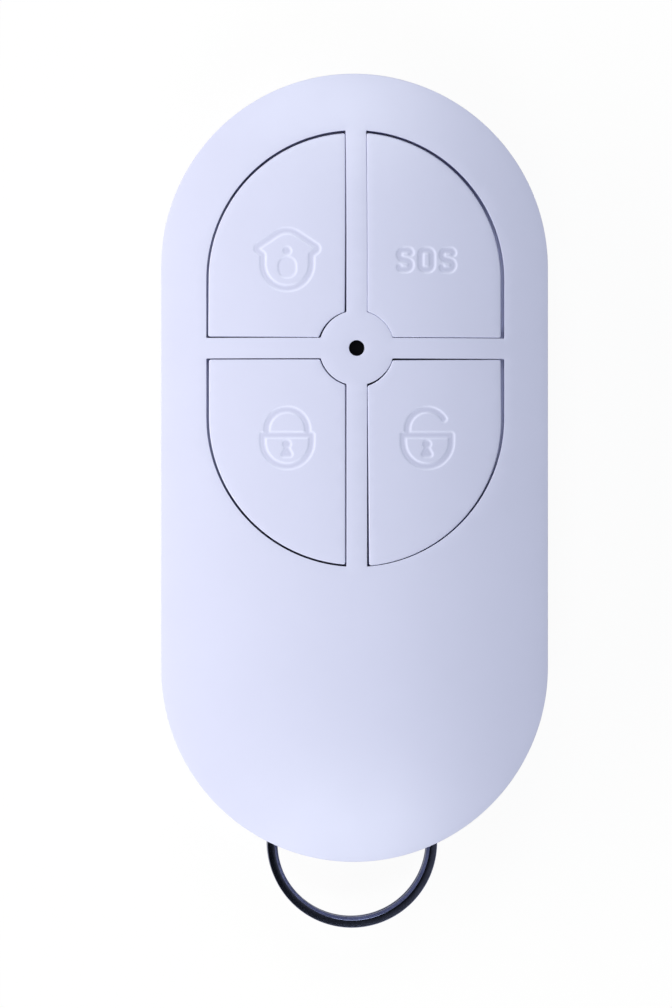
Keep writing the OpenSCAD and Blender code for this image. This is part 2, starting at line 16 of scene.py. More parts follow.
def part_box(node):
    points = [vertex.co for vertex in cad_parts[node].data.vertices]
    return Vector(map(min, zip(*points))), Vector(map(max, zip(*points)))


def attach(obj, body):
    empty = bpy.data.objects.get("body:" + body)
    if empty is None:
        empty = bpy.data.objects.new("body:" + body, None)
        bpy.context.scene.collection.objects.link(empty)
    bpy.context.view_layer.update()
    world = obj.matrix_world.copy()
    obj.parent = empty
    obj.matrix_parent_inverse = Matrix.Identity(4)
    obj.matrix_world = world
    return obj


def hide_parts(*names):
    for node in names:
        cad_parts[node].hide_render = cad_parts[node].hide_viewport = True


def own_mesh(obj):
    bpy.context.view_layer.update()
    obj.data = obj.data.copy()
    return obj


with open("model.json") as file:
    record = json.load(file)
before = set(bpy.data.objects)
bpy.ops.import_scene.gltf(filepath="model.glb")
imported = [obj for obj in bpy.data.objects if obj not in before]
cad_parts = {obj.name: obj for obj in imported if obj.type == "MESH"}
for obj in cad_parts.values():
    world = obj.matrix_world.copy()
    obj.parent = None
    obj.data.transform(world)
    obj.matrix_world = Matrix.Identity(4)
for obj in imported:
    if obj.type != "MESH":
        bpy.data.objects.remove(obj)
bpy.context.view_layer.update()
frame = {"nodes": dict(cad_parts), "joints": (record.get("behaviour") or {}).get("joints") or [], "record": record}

# A millimetre in metres, how close points are welded in metres, and the angle from which an edge is sharp
MM = 0.001
WELD = 0.000001
SHARP = radians(32)


def span(node):
    """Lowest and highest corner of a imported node, in millimetres."""
    low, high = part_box(node)
    return np.array(low) / MM, np.array(high) / MM


# Mouldings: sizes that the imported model's boxes do not give
CROWN_R = 64.0
FRONT_EDGE_R = 0.08
BACK_EDGE_R = 1.8
SIDE_DRAFT = radians(4)
SIDE_WALL = 1.6
BACK_WALL = 1.6
FACE_T = 2.6
FACE_EDGE_T = 0.7
FACE_EDGE_R = 0.04
WINDOW_D = 1.5
WINDOW_EDGE_R = 0.04
REVEAL_D = 0.25
REVEAL_H = 0.35
SEAM_R = 0.1
HOLE_EDGE_R = 0.05
PARTITION_T = 1.2

# How far a post, a stem or a partition runs into the wall that carries it
ROOT = 0.2

# Buttons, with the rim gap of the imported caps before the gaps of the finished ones
PACKED_RIM_GAP = 0.24
RIM_GAP = 0.25
BAR_GAP = 0.1
CAP_REACH = 0.07
BAR_W = 1.95
HUB_D = 7.1
FLANGE_LIP = 0.75
FLANGE_T = 1.0
CAP_WALL = 1.1
CAP_TOP = 0.9
CAP_EDGE_R = 0.12
CAP_CORNER_R = 0.2
OPENING_CORNER_R = 0.08
LEAST_CORNER_R = 0.05
STEM_D = 3.2

# Painted shade in the gaps round the caps: the depth down to which none is painted, and how much deeper it is full
UNSHADED_DEPTH = 0.15
FULL_SHADE_DEPTH = 0.3

# Places of the buttons about the hub, and how each cap sits in its quarter: sideways, lengthwise, turned
PLACES = {"home": (-1, 1), "sos": (1, 1), "arm": (-1, -1), "disarm": (1, -1)}
SEATS = {
    "home": (-0.01, -0.025, radians(-0.45)),
    "sos": (-0.09, -0.045, 0.0),
    "arm": (-0.005, 0.0, 0.0),
    "disarm": (0.0, -0.045, radians(0.6)),
}

# Signs: half the width of a line, its soft side, its depth, and how much painted shade darkens it and painted
# highlight lightens its lips
HALF_STROKE = 0.28
SIGN_EDGE = 0.25
SIGN_DEPTH = 0.068
SIGN_GROOVE_SHADE = 0.3
SIGN_LIP_HIGHLIGHT = 0.27

# Signs: middles seen from the hub, the end of the open shackle, and how far over a cap's hollow they stay
SIGN_MIDDLES = {"home": (-6.6, 8.0), "sos": (6.64, 8.38), "arm": (-6.6, -8.9), "disarm": (6.72, -8.9)}
SHACKLE_OPEN = radians(32.6)
SIGN_CLEARANCE = 0.3

# Whole body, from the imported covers
front_low, front_high = span("front_cover")
BODY_R = front_high[0]
END_Y = front_high[1] - BODY_R
SPLIT_Z = front_low[2]
TOP_Z = front_high[2]
INNER_R = BODY_R - SIDE_WALL
FACE_UNDER = TOP_Z - FACE_T
EDGE_X = BODY_R - FRONT_EDGE_R
CROWN_Z = TOP_Z - CROWN_R
EDGE_Z = CROWN_Z + sqrt((CROWN_R - FRONT_EDGE_R) ** 2 - EDGE_X**2)
EDGE_TURN = atan2(EDGE_Z - CROWN_Z, EDGE_X)
SHOULDER_Z = CROWN_Z + sqrt(CROWN_R**2 - INNER_R**2) - SIDE_WALL
CEILING_R = sqrt(CROWN_R**2 - (FACE_UNDER + FACE_EDGE_T - CROWN_Z) ** 2)

# Field of buttons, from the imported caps
home_low, home_high = span("home_button")
FIELD_Y = (home_low[1] + span("arm_button")[1][1]) / 2
FIELD_R = PACKED_RIM_GAP - FLANGE_LIP - home_low[0]
FIELD_S = home_high[1] - FIELD_Y - FIELD_R + PACKED_RIM_GAP - FLANGE_LIP
FLANGE_Z = FACE_UNDER - FLANGE_T
STEM_Z = home_low[2]
POCKET_Z = CROWN_Z + sqrt(CROWN_R**2 - FIELD_R**2) - CAP_TOP

# Ring and its wire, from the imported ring
ring_low, ring_high = span("split_ring")
RING_Y = (ring_low[1] + ring_high[1]) / 2
RING_Z = (ring_low[2] + ring_high[2]) / 2
RING_OUT_R = (ring_high[0] - ring_low[0]) / 2
WIRE_W = 1.0
WIRE_H = (ring_high[2] - ring_low[2]) / 2
WIRE_INNER_CHAMFER = 0.28
WIRE_OUTER_CHAMFER = 0.05
WIRE_EASE = 0.08
STEP_AT = radians(40)
STEP_SPAN = radians(40)

# Shares: how much of a turn's height the wire fills, how steep its chamfers are, what its sides lose
WIRE_FILL = 0.98
CHAMFER_RISE = 0.84
WIRE_CROWN = 0.055

# The ring's post and mouth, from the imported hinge
swing = next(joint for joint in frame["joints"] if joint["name"] == "ring_swing")
POST_Y = swing["pos_m"][1] / MM
POST_D = 3.6
SWING = radians(swing["range_deg"][1])
CHAMBER_GAP = 0.4
MOUTH_GAP = 0.3
MOUTH_R = WIRE_H + MOUTH_GAP
PIVOT_R = POST_Y - RING_Y
MOUTH_CORNER = MOUTH_R - sqrt(MOUTH_R**2 - WIRE_H**2)
MOUTH_FLAT = PIVOT_R * sin(SWING) + RING_OUT_R + CHAMBER_GAP + MOUTH_CORNER - MOUTH_R
CHAMBER_Y = POST_Y - PIVOT_R * cos(SWING) + RING_OUT_R + CHAMBER_GAP

# Screws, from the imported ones: the domed head, its cross recess, the shank and its blunt point
screw_low, screw_high = span("case_screws")
HEAD_R = 1.7
HEAD_FLAT_R = 1.2
HEAD_DOME = 0.32
HEAD_H = 1.1
HEAD_Z = screw_low[2]
HEAD_HOLE_R = 1.9
RECESS_L = 1.0
RECESS_W = 0.24
RECESS_D = 0.6
RECESS_TAPER = 0.6
RECESS_TIP_R = 0.08
RECESS_ROOT_R = 0.12
SHANK_R = 0.95
POINT_L = 1.0
SCREW_X = screw_high[0] - HEAD_R
SCREW_Y = (screw_low[1] + screw_high[1]) / 2
SCREW_TURN = radians(25)

# What holds the board between the shells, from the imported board
board_low, board_high = span("circuit_board")
BOSS_R = 2.2
STANDOFF_R = 1.0
STANDOFF_GAP = 0.4
STANDOFF_OUT = INNER_R - STANDOFF_R - STANDOFF_GAP
STANDOFF_TURN = radians(62)
STANDOFF = (STANDOFF_OUT * cos(STANDOFF_TURN), END_Y + STANDOFF_OUT * sin(STANDOFF_TURN))

# Steps along the body's outline, with finer ones in the directions, from straight down, of the mouth's ends
DOWN = 1.5 * pi
HALF_TURN_STEPS = 96
SIDE_STEPS = 44
MOUTH_ENDS = (radians(35), radians(49))
MOUTH_END_STEP = radians(0.45)
TURN_DIGITS = 6

# Steps along a quarter of the field: its two bars, its straight side, its round end and the hub
CROSS_BAR_STEPS = 18
LONG_BAR_STEPS = 30
FIELD_SIDE_STEPS = 10
FIELD_END_STEPS = 44
HUB_STEPS = 10

# Steps over edges, corners and round pieces
EDGE_STEPS = 8
ROUND_STEPS = 5
CORNER_STEPS = 6
LATHE_STEPS = 48
HEAD_STEPS = 6

# Steps in the signs: a round foot, a shackle and a small dot
FOOT_STEPS = 24
SHACKLE_STEPS = 28
DOT_STEPS = 16

# Steps in the ring: along the wire, over a chamfer and an eased corner, and cuts in the section's sides
RING_POINTS = 360
CHAMFER_STEPS = 1
EASE_STEPS = 4
SECTION_CUTS = 2

# Points on the face and the caps: their step, in bands round a sign, and how near they come to an outline
FACE_STEP = 0.9
CAP_BANDS = ((0.09, 0.35), (0.28, 1.2), (0.8, FIELD_R))
CLEAR_SHARE = 0.6
CLEAR_STEP = 0.5

# Filling of flat loops: triangles between the loops alone, and how close points are one
FILL_BETWEEN = 1
FILL_WELD = 0.0000001


# Plan curves

def line(start, stop, count):
    """Points along a line, without the last one."""
    share = np.linspace(0, 1, count, endpoint=False)[:, None]
    return np.array(start) + share * (np.array(stop) - np.array(start))


def arc(middle, r, start, stop, count):
    """Points along an arc, without the last one."""
    turn = np.linspace(start, stop, count, endpoint=False)
    return np.column_stack([middle[0] + r * np.cos(turn), middle[1] + r * np.sin(turn)])


def circle(middle, r, count=LATHE_STEPS):
    """A closed circle."""
    return arc(middle, r, 0, 2 * pi, count)


def rounded(corners, closed=True):
    """A path through corners (x, y, r), each rounded by its own radius."""
    points = []
    for i, (x, y, r) in enumerate(corners):
        corner = np.array([x, y])
        if r == 0 or (not closed and i in (0, len(corners) - 1)):
            points.append(corner)
            continue
        before = np.array(corners[i - 1][:2]) - corner
        after = np.array(corners[(i + 1) % len(corners)][:2]) - corner
        before /= np.hypot(*before)
        after /= np.hypot(*after)
        half = acos(np.clip(before @ after, -1, 1)) / 2
        inward = before + after
        middle = corner + inward / np.hypot(*inward) * r / sin(half)
        start = corner + before * r / tan(half) - middle
        stop = corner + after * r / tan(half) - middle
        first = atan2(start[1], start[0])
        turn = (atan2(stop[1], stop[0]) - first + pi) % (2 * pi) - pi
        for share in np.linspace(0, 1, CORNER_STEPS + 1):
            points.append(middle + r * np.array([cos(first + turn * share), sin(first + turn * share)]))
    return np.array(points)


def body_spine():
    """Points on the body's spine and directions out from them, closer together beside the mouth."""
    even = np.linspace(pi, 2 * pi, HALF_TURN_STEPS, endpoint=False)
    ends = np.arange(*MOUTH_ENDS, MOUTH_END_STEP)
    turns = [
        np.linspace(0, pi, HALF_TURN_STEPS, endpoint=False),
        np.full(SIDE_STEPS, pi),
        np.unique(np.concatenate([even, DOWN - ends, DOWN + ends]).round(TURN_DIGITS)),
        np.zeros(SIDE_STEPS),
    ]
    down = np.linspace(END_Y, -END_Y, SIDE_STEPS, endpoint=False)
    heights = [np.full(HALF_TURN_STEPS, END_Y), down, np.full(len(turns[2]), -END_Y), -down]
    turn = np.concatenate(turns)
    spine = np.column_stack([np.zeros(len(turn)), np.concatenate(heights)])
    return spine, np.column_stack([np.cos(turn), np.sin(turn)])


SPINE, OUTWARD = body_spine()


def body_outline(r):
    """Points round the body at a distance r from its spine, or each at its own distance."""
    return SPINE + np.reshape(r, (-1, 1)) * OUTWARD


def wall_r(z):
    """Distance of the drafted side wall from the spine at a height."""
    return EDGE_X + FRONT_EDGE_R / cos(SIDE_DRAFT) - (EDGE_Z - z) * tan(SIDE_DRAFT)


def quarter(place, inset, corner_r, rim_gap=0.0, bar_gap=0.0, reach=0.0):
    """Outline of one quarter of the field, drawn in by inset, its round end moved out by reach."""
    far = FIELD_S + reach
    rim = FIELD_R - rim_gap - inset
    bar = BAR_W / 2 + bar_gap + inset
    hub = HUB_D / 2 + bar_gap + inset
    r = max(corner_r - inset, LEAST_CORNER_R)
    hub_reach = sqrt((hub + r) ** 2 - (bar + r) ** 2)
    rim_reach = far + sqrt((rim - r) ** 2 - (bar + r) ** 2)
    rim_turn = atan2(rim_reach - far, bar + r)
    hub_turn = atan2(bar + r, hub_reach)
    points = np.concatenate([
        line((hub_reach, bar), (rim - r, bar), CROSS_BAR_STEPS),
        arc((rim - r, bar + r), r, -pi / 2, 0, CORNER_STEPS),
        line((rim, bar + r), (rim, far), FIELD_SIDE_STEPS),
        arc((0, far), rim, 0, rim_turn, FIELD_END_STEPS),
        arc((bar + r, rim_reach), r, rim_turn, pi, CORNER_STEPS),
        line((bar, rim_reach), (bar, hub_reach), LONG_BAR_STEPS),
        arc((bar + r, hub_reach), r, pi, DOWN - hub_turn, CORNER_STEPS),
        arc((0, 0), hub, pi / 2 - hub_turn, hub_turn, HUB_STEPS),
        arc((hub_reach, bar + r), r, pi + hub_turn, DOWN, CORNER_STEPS),
    ])
    return points * np.array(place) + np.array([0, FIELD_Y])


def crown(points):
    """Height of the crowned face over points of the plan."""
    out = np.hypot(points[:, 0], np.maximum(np.abs(points[:, 1]) - END_Y, 0))
    return CROWN_Z + np.sqrt(CROWN_R**2 - out**2)


def mouth_half(points):
    """Half height of the ring's mouth over points of the plan, and nothing beside it."""
    past = np.clip((np.abs(points[:, 0]) - MOUTH_FLAT) / MOUTH_R, 0, 1)
    return np.where(points[:, 1] < -END_Y, MOUTH_R * np.sqrt(1 - past**2), 0)


def gap_shade(points):
    """How much painted shade lies on points in space: none on the face, most deep in the gaps round the caps."""
    plan = points[:, :2]
    past = np.hypot(plan[:, 0], np.maximum(np.abs(plan[:, 1] - FIELD_Y) - FIELD_S, 0)) - FIELD_R
    depth = crown(plan) - points[:, 2]
    return np.where(past < FACE_EDGE_R, np.clip((depth - UNSHADED_DEPTH) / FULL_SHADE_DEPTH, 0, 1), 0)


def raised(points, height):
    """Plan points lifted to one height, or each to its own."""
    return np.column_stack([points, np.broadcast_to(height, len(points))])


def inside(loop, points):
    """Which points lie inside a closed loop, by counting the edges to their right."""
    start, stop = loop, np.roll(loop, -1, axis=0)
    x, y = points[:, :1], points[:, 1:]
    crosses = (start[:, 1] > y) != (stop[:, 1] > y)
    rise = np.where(stop[:, 1] == start[:, 1], 1, stop[:, 1] - start[:, 1])
    reach = start[:, 0] + (y - start[:, 1]) * (stop[:, 0] - start[:, 0]) / rise
    return (crosses & (x < reach)).sum(axis=1) % 2 == 1


def grid(low, high, step):
    """An even field of points in staggered rows, at the corners of equal-sided triangles."""
    rows = np.arange(low[1], high[1], step * sqrt(3) / 2)
    across = np.arange(low[0], high[0], step)
    return np.concatenate([
        np.column_stack([across + (i % 2) * step / 2, np.full(len(across), y)]) for i, y in enumerate(rows)
    ])


def clear_of(points, others, gap):
    """The points that keep a distance from all the others."""
    keep = np.ones(len(points), bool)
    for other in others:
        keep &= np.hypot(*(points - other).T) > gap
    return points[keep]


class Solid:
    """Patches of closed surfaces, which are welded into one mesh."""

    def __init__(self):
        self.points = []
        self.faces = []
        self.count = 0

    def patch(self, points, faces):
        """Adds points and the faces between them."""
        self.points.append(points)
        self.faces += [[self.count + i for i in face] for face in faces]
        self.count += len(points)

    def loft(self, rings):
        """A wall through rings that have the same number of points."""
        n = len(rings[0])
        around = [(i, (i + 1) % n) for i in range(n)]
        faces = [
            (k * n + i, k * n + j, (k + 1) * n + j, (k + 1) * n + i)
            for k in range(len(rings) - 1) for i, j in around
        ]
        self.patch(np.concatenate(rings), faces)

    def fill(self, loops, height, extra=None):
        """A face inside the first loop and outside the others, through extra points of the plan."""
        plan = np.concatenate(loops + ([] if extra is None else [extra]))
        edges, first = [], 0
        for loop in loops:
            n = len(loop)
            edges += [(first + i, first + (i + 1) % n) for i in range(n)]
            first += n
        found = delaunay_2d_cdt([Vector(p) for p in plan], edges, [], FILL_BETWEEN, FILL_WELD)
        plan = np.array([tuple(p) for p in found[0]])
        triangles = np.array(found[2])
        middles = plan[triangles].mean(axis=1)
        keep = inside(loops[0], middles)
        for hole in loops[1:]:
            keep &= ~inside(hole, middles)
        self.patch(raised(plan, height(plan) if callable(height) else height), triangles[keep].tolist())

    def prism(self, loop, low, high):
        """An upright prism of a loop."""
        self.loft([raised(loop, low), raised(loop, high)])
        self.fill([loop], low)
        self.fill([loop], high)

    def column(self, place, r, low, high):
        """An upright cylinder."""
        self.prism(circle(place, r), low, high)

    def build(self, name):
        """The welded mesh as an object of the scene, with the painted gap shade on its points."""
        mesh = bpy.data.meshes.new(name)
        points = np.concatenate(self.points)
        mesh.from_pydata((points * MM).tolist(), [], self.faces)
        mesh.attributes.new("soil", "FLOAT", "POINT").data.foreach_set("value", gap_shade(points))
        return finished(mesh, name)


def placed(name, data):
    """A new object of the scene."""
    thing = bpy.data.objects.new(name, data)
    bpy.context.scene.collection.objects.link(thing)
    return thing


def finished(mesh, name):
    """An object of a mesh, with its doubles welded, its faces outward and its edges smooth or sharp."""
    work = bmesh.new()
    work.from_mesh(mesh)
    bmesh.ops.remove_doubles(work, verts=work.verts, dist=WELD)
    bmesh.ops.dissolve_degenerate(work, edges=work.edges, dist=WELD)
    bmesh.ops.recalc_face_normals(work, faces=work.faces)
    for face in work.faces:
        face.smooth = True
    work.to_mesh(mesh)
    work.free()
    mesh.set_sharp_from_angle(angle=SHARP)
    return placed(name, mesh)


def edge_rings(outline_at, r, height_of):
    """Rings over a rounded edge, from a surface, where the outline lies r further out, down to a wall."""
    rings = []
    for turn in np.linspace(0, pi / 2, ROUND_STEPS + 1):
        ring = outline_at(r * (1 - sin(turn)))
        rings.append(raised(ring, height_of(ring) - r * (1 - cos(turn))))
    return rings


# Trees of nodes

def add(tree, kind, inputs=None, **settings):
    """A new node with its settings, and its inputs set to values or linked to other nodes' outputs."""
    node = tree.nodes.new(kind)
    for name, value in settings.items():
        setattr(node, name, value)
    for name, value in (inputs or {}).items():
        if isinstance(value, bpy.types.NodeSocket):
            tree.links.new(value, node.inputs[name])
        else:
            node.inputs[name].default_value = value
    return node


def calc(tree, operation, first, second=0.0, third=0.0):
    """The result of a sum on numbers or sockets."""
    return add(tree, "ShaderNodeMath", {0: first, 1: second, 2: third}, operation=operation).outputs[0]


def fade(tree, value, low, high):
    """A smooth change from 0 to 1 between two values."""
    node = add(tree, "ShaderNodeMapRange", {"Value": value, "From Min": low, "From Max": high},
               interpolation_type="SMOOTHSTEP")
    return node.outputs[0]


def ramp(tree, value, low, high, to_low, to_high):
    """A value carried from one range to another."""
    node = add(tree, "ShaderNodeMapRange", {
        "Value": value, "From Min": low, "From Max": high, "To Min": to_low, "To Max": to_high,
    })
    return node.outputs[0]


def new_tree(name, sockets):
    """A geometry tree with named inputs, and its input node's outputs."""
    tree = bpy.data.node_groups.new(name, "GeometryNodeTree")
    tree.interface.new_socket("Geometry", in_out="INPUT", socket_type="NodeSocketGeometry")
    for label, kind in sockets.items():
        tree.interface.new_socket(label, in_out="INPUT", socket_type="NodeSocket" + kind)
    tree.interface.new_socket("Geometry", in_out="OUTPUT", socket_type="NodeSocketGeometry")
    return tree, tree.nodes.new("NodeGroupInput").outputs


def end_tree(tree, geometry, finish):
    """Ends a tree in plain geometry with a material."""
    real = add(tree, "GeometryNodeRealizeInstances", {"Geometry": geometry})
    dressed = add(tree, "GeometryNodeSetMaterial", {"Geometry": real.outputs[0], "Material": finish})
    add(tree, "NodeGroupOutput", {0: dressed.outputs[0]})
    return tree


def grow(piece, tree, values):
    """Runs a tree on a piece with these input values, and keeps the result as the piece's plain mesh."""
    modifier = piece.modifiers.new(tree.name, "NODES")
    modifier.node_group = tree
    for item in tree.interface.items_tree:
        if item.in_out == "INPUT" and item.name in values:
            modifier[item.identifier] = values[item.name]
    evaluated = piece.evaluated_get(bpy.context.evaluated_depsgraph_get())
    mesh = bpy.data.meshes.new_from_object(evaluated)
    piece.modifiers.remove(modifier)
    piece.data = mesh
    mesh.name = piece.name
    return piece


def engraving_tree():
    """Sinks a surface along a flat drawing's lines and in its faces, with painted shade in the lines and painted
    highlights on the lips.
    """
    tree, given = new_tree("engrave_sign", {
        "Sign": "Object", "Half Stroke": "Float", "Edge": "Float", "Depth": "Float", "Dust": "Float",
        "Rub": "Float", "Above": "Float", "Finish": "Material",
    })
    far_off = 1.0
    sign = add(tree, "GeometryNodeObjectInfo", {"Object": given["Sign"]}).outputs["Geometry"]
    place = add(tree, "ShaderNodeSeparateXYZ", {0: add(tree, "GeometryNodeInputPosition").outputs[0]})
    flat = add(tree, "ShaderNodeCombineXYZ", {"X": place.outputs["X"], "Y": place.outputs["Y"]})
    near = {
        kind: add(tree, "GeometryNodeProximity", {0: sign, "Sample Position": flat.outputs[0]},
                  target_element=kind).outputs
        for kind in ("EDGES", "FACES")
    }
    to_line = near["EDGES"]["Distance"]
    to_face = add(tree, "GeometryNodeSwitch", {
        "Switch": near["FACES"]["Is Valid"], "False": far_off, "True": near["FACES"]["Distance"],
    }, input_type="FLOAT").outputs[0]
    distance = calc(tree, "MINIMUM", to_line, to_face)
    soft = calc(tree, "MULTIPLY", given["Edge"], 0.5)
    share = fade(tree, distance, calc(tree, "ADD", given["Half Stroke"], soft),
                 calc(tree, "SUBTRACT", given["Half Stroke"], soft))

    # Painted shade along the sunk lines and a painted highlight on their lips, kept as one signed value
    on_line = calc(tree, "GREATER_THAN", to_face, calc(tree, "ADD", to_line, WELD))
    groove_shade = calc(tree, "MULTIPLY", fade(tree, to_line, given["Half Stroke"], 0.0), on_line)
    lip = calc(tree, "MULTIPLY_ADD", soft, 0.5, given["Half Stroke"])
    lip_highlight = fade(tree, calc(tree, "ABSOLUTE", calc(tree, "SUBTRACT", distance, lip)), soft, 0.0)
    soil = calc(tree, "SUBTRACT", calc(tree, "MULTIPLY", groove_shade, given["Dust"]),
                calc(tree, "MULTIPLY", lip_highlight, given["Rub"]))
    on_face = calc(tree, "GREATER_THAN", place.outputs["Z"], given["Above"])
    beside = calc(tree, "LESS_THAN", distance, calc(tree, "ADD", lip, soft))
    shaded = add(tree, "GeometryNodeStoreNamedAttribute", {
        "Geometry": given["Geometry"], "Selection": calc(tree, "MULTIPLY", on_face, beside),
        "Name": "soil", "Value": soil,
    }, data_type="FLOAT", domain="POINT")
    sink = calc(tree, "MULTIPLY", share, calc(tree, "MULTIPLY", given["Depth"], -1.0))
    sunk = add(tree, "GeometryNodeSetPosition", {
        "Geometry": shaded.outputs[0], "Selection": on_face,
        "Offset": add(tree, "ShaderNodeCombineXYZ", {"Z": sink}).outputs[0],
    })
    return end_tree(tree, sunk.outputs[0], given["Finish"])


def wire_path(tree, given):
    """A curve that runs twice round, with a step from the first turn up to the second."""
    straight = add(tree, "GeometryNodeCurvePrimitiveLine")
    path = add(tree, "GeometryNodeResampleCurve", {"Curve": straight.outputs[0], "Count": given["Points"]})
    share = add(tree, "GeometryNodeSplineParameter").outputs["Factor"]
    start = calc(tree, "ADD", given["Step At"], calc(tree, "MULTIPLY", given["Step Span"], 0.5))
    whole = calc(tree, "SUBTRACT", 4 * pi, given["Step Span"])
    turn = calc(tree, "ADD", start, calc(tree, "MULTIPLY", share, whole))
    step_end = calc(tree, "ADD", start, 2 * pi)
    half_pitch = calc(tree, "MULTIPLY", given["Pitch"], 0.5)
    height = add(tree, "ShaderNodeMapRange", {
        "Value": turn,
        "From Min": calc(tree, "SUBTRACT", step_end, given["Step Span"]),
        "From Max": step_end,
        "To Min": calc(tree, "MULTIPLY", half_pitch, -1.0),
        "To Max": half_pitch,
    }, interpolation_type="SMOOTHSTEP")
    spot = add(tree, "ShaderNodeCombineXYZ", {
        "X": calc(tree, "MULTIPLY", given["Radius"], calc(tree, "COSINE", turn)),
        "Y": calc(tree, "MULTIPLY", given["Radius"], calc(tree, "SINE", turn)),
        "Z": height.outputs[0],
    })
    moved = add(tree, "ShaderNodeVectorMath", {0: spot.outputs[0], 1: given["Middle"]}, operation="ADD")
    wound = add(tree, "GeometryNodeSetPosition", {"Geometry": path.outputs[0], "Position": moved.outputs[0]})
    return add(tree, "GeometryNodeSetCurveNormal", {"Curve": wound.outputs[0]}, mode="Z_UP").outputs[0]


def wire_section(tree, given):
    """The wire's section: chamfered, eased on its inner side, and thickest in its middle."""
    box = add(tree, "GeometryNodeCurvePrimitiveQuadrilateral", {
        "Width": given["Wire Width"],
        "Height": calc(tree, "DIVIDE", given["Wire Height"], given["Chamfer Rise"]),
    })
    position = add(tree, "GeometryNodeInputPosition").outputs[0]
    place = add(tree, "ShaderNodeSeparateXYZ", {0: position}).outputs
    corner = add(tree, "GeometryNodeSwitch", {
        "Switch": calc(tree, "GREATER_THAN", place["X"], 0.0),
        "False": given["Inner Chamfer"], "True": given["Outer Chamfer"],
    }, input_type="FLOAT")
    chamfered = add(tree, "GeometryNodeFilletCurve", {
        "Curve": box.outputs[0], "Radius": corner.outputs[0], "Count": CHAMFER_STEPS,
    }, mode="POLY")
    ease = calc(tree, "MULTIPLY", given["Ease"], calc(tree, "LESS_THAN", place["X"], 0.0))
    eased = add(tree, "GeometryNodeFilletCurve", {
        "Curve": chamfered.outputs[0], "Radius": ease, "Limit Radius": True, "Count": EASE_STEPS,
    }, mode="POLY")
    fine = add(tree, "GeometryNodeSubdivideCurve", {"Curve": eased.outputs[0], "Cuts": SECTION_CUTS})
    off_middle = calc(tree, "DIVIDE", place["X"], calc(tree, "MULTIPLY", given["Wire Width"], 0.5))
    thinned = calc(tree, "MULTIPLY", calc(tree, "MULTIPLY", off_middle, off_middle), given["Crown"])
    thickness = calc(tree, "MULTIPLY", calc(tree, "SUBTRACT", 1.0, thinned), given["Chamfer Rise"])
    crowned = add(tree, "ShaderNodeCombineXYZ", {
        "X": place["X"], "Y": calc(tree, "MULTIPLY", place["Y"], thickness),
    })
    section = add(tree, "GeometryNodeSetPosition", {
        "Geometry": fine.outputs[0], "Position": crowned.outputs[0],
    })
    return section.outputs[0]


def ring_tree():
    """Winds a wire into two flat turns that are joined by a step."""
    tree, given = new_tree("wind_ring", {
        "Middle": "Vector", "Radius": "Float", "Wire Width": "Float", "Wire Height": "Float",
        "Pitch": "Float", "Inner Chamfer": "Float", "Outer Chamfer": "Float", "Chamfer Rise": "Float",
        "Ease": "Float", "Crown": "Float", "Step At": "Float", "Step Span": "Float", "Points": "Int",
        "Finish": "Material",
    })
    wire = add(tree, "GeometryNodeCurveToMesh", {
        "Curve": wire_path(tree, given), "Profile Curve": wire_section(tree, given), "Fill Caps": True,
    })
    return end_tree(tree, wire.outputs[0], given["Finish"])


def screws_tree():
    """Sets one screw in each of two holes, the second turned from the first."""
    tree, given = new_tree("drive_screws", {
        "Screw": "Object", "First": "Vector", "Apart": "Vector", "Turn": "Float", "Finish": "Material",
    })
    screw = add(tree, "GeometryNodeObjectInfo", {"Object": given["Screw"]}).outputs["Geometry"]
    holes = add(tree, "GeometryNodeMeshLine", {
        "Count": 2, "Start Location": given["First"], "Offset": given["Apart"],
    })
    turn = calc(tree, "MULTIPLY", add(tree, "GeometryNodeInputIndex").outputs[0], given["Turn"])
    driven = add(tree, "GeometryNodeInstanceOnPoints", {
        "Points": holes.outputs[0], "Instance": screw,
        "Rotation": add(tree, "ShaderNodeCombineXYZ", {"Z": turn}).outputs[0],
    })
    return end_tree(tree, driven.outputs[0], given["Finish"])


# Finishes: the white of the case, what full painted shade takes from each colour, and the board's greens and
# tracks
COOL_WHITE = (0.665, 0.686, 0.9)
PAINTED_SHADE = (0.38, 0.38, 0.31)
MASK_GREEN = (0.02, 0.12, 0.05)
MASK_SHADE = (0.018, 0.11, 0.045)
TRACK_GREEN = (0.05, 0.22, 0.09)
TRACK_SCALE = 300.0
TRACK_SHARE = 0.06
TRACK_SOFT = 0.2

# Noise: its detail in clouds and in fine grain, its roughness, and the range that most of it lies in
CLOUD_DETAIL = 3.0
GRAIN_DETAIL = 2.0
NOISE_ROUGH = 0.55
NOISE_SPAN = (0.3, 0.7)
GLOSS_VARIES = 0.08

# The sockets of a mix node that take two colours and give the third
MIX_FIRST, MIX_SECOND, MIX_GIVEN = 6, 7, 2


def speckle(tree, scale, detail=CLOUD_DETAIL):
    """Noise over the piece's own coordinates, from 0 to 1."""
    place = add(tree, "ShaderNodeTexCoord").outputs["Object"]
    noise = add(tree, "ShaderNodeTexNoise", {
        "Vector": place, "Scale": scale, "Detail": detail, "Roughness": NOISE_ROUGH,
    })
    return noise.outputs[0]


def blend(tree, share, first, second):
    """A colour between two others."""
    node = add(tree, "ShaderNodeMix", {0: share, MIX_FIRST: first, MIX_SECOND: second}, data_type="RGBA")
    return node.outputs[MIX_GIVEN]


def shader_of(material):
    """A material's tree of nodes, and the shader in it."""
    material.use_nodes = True
    return material.node_tree, material.node_tree.nodes["Principled BSDF"]


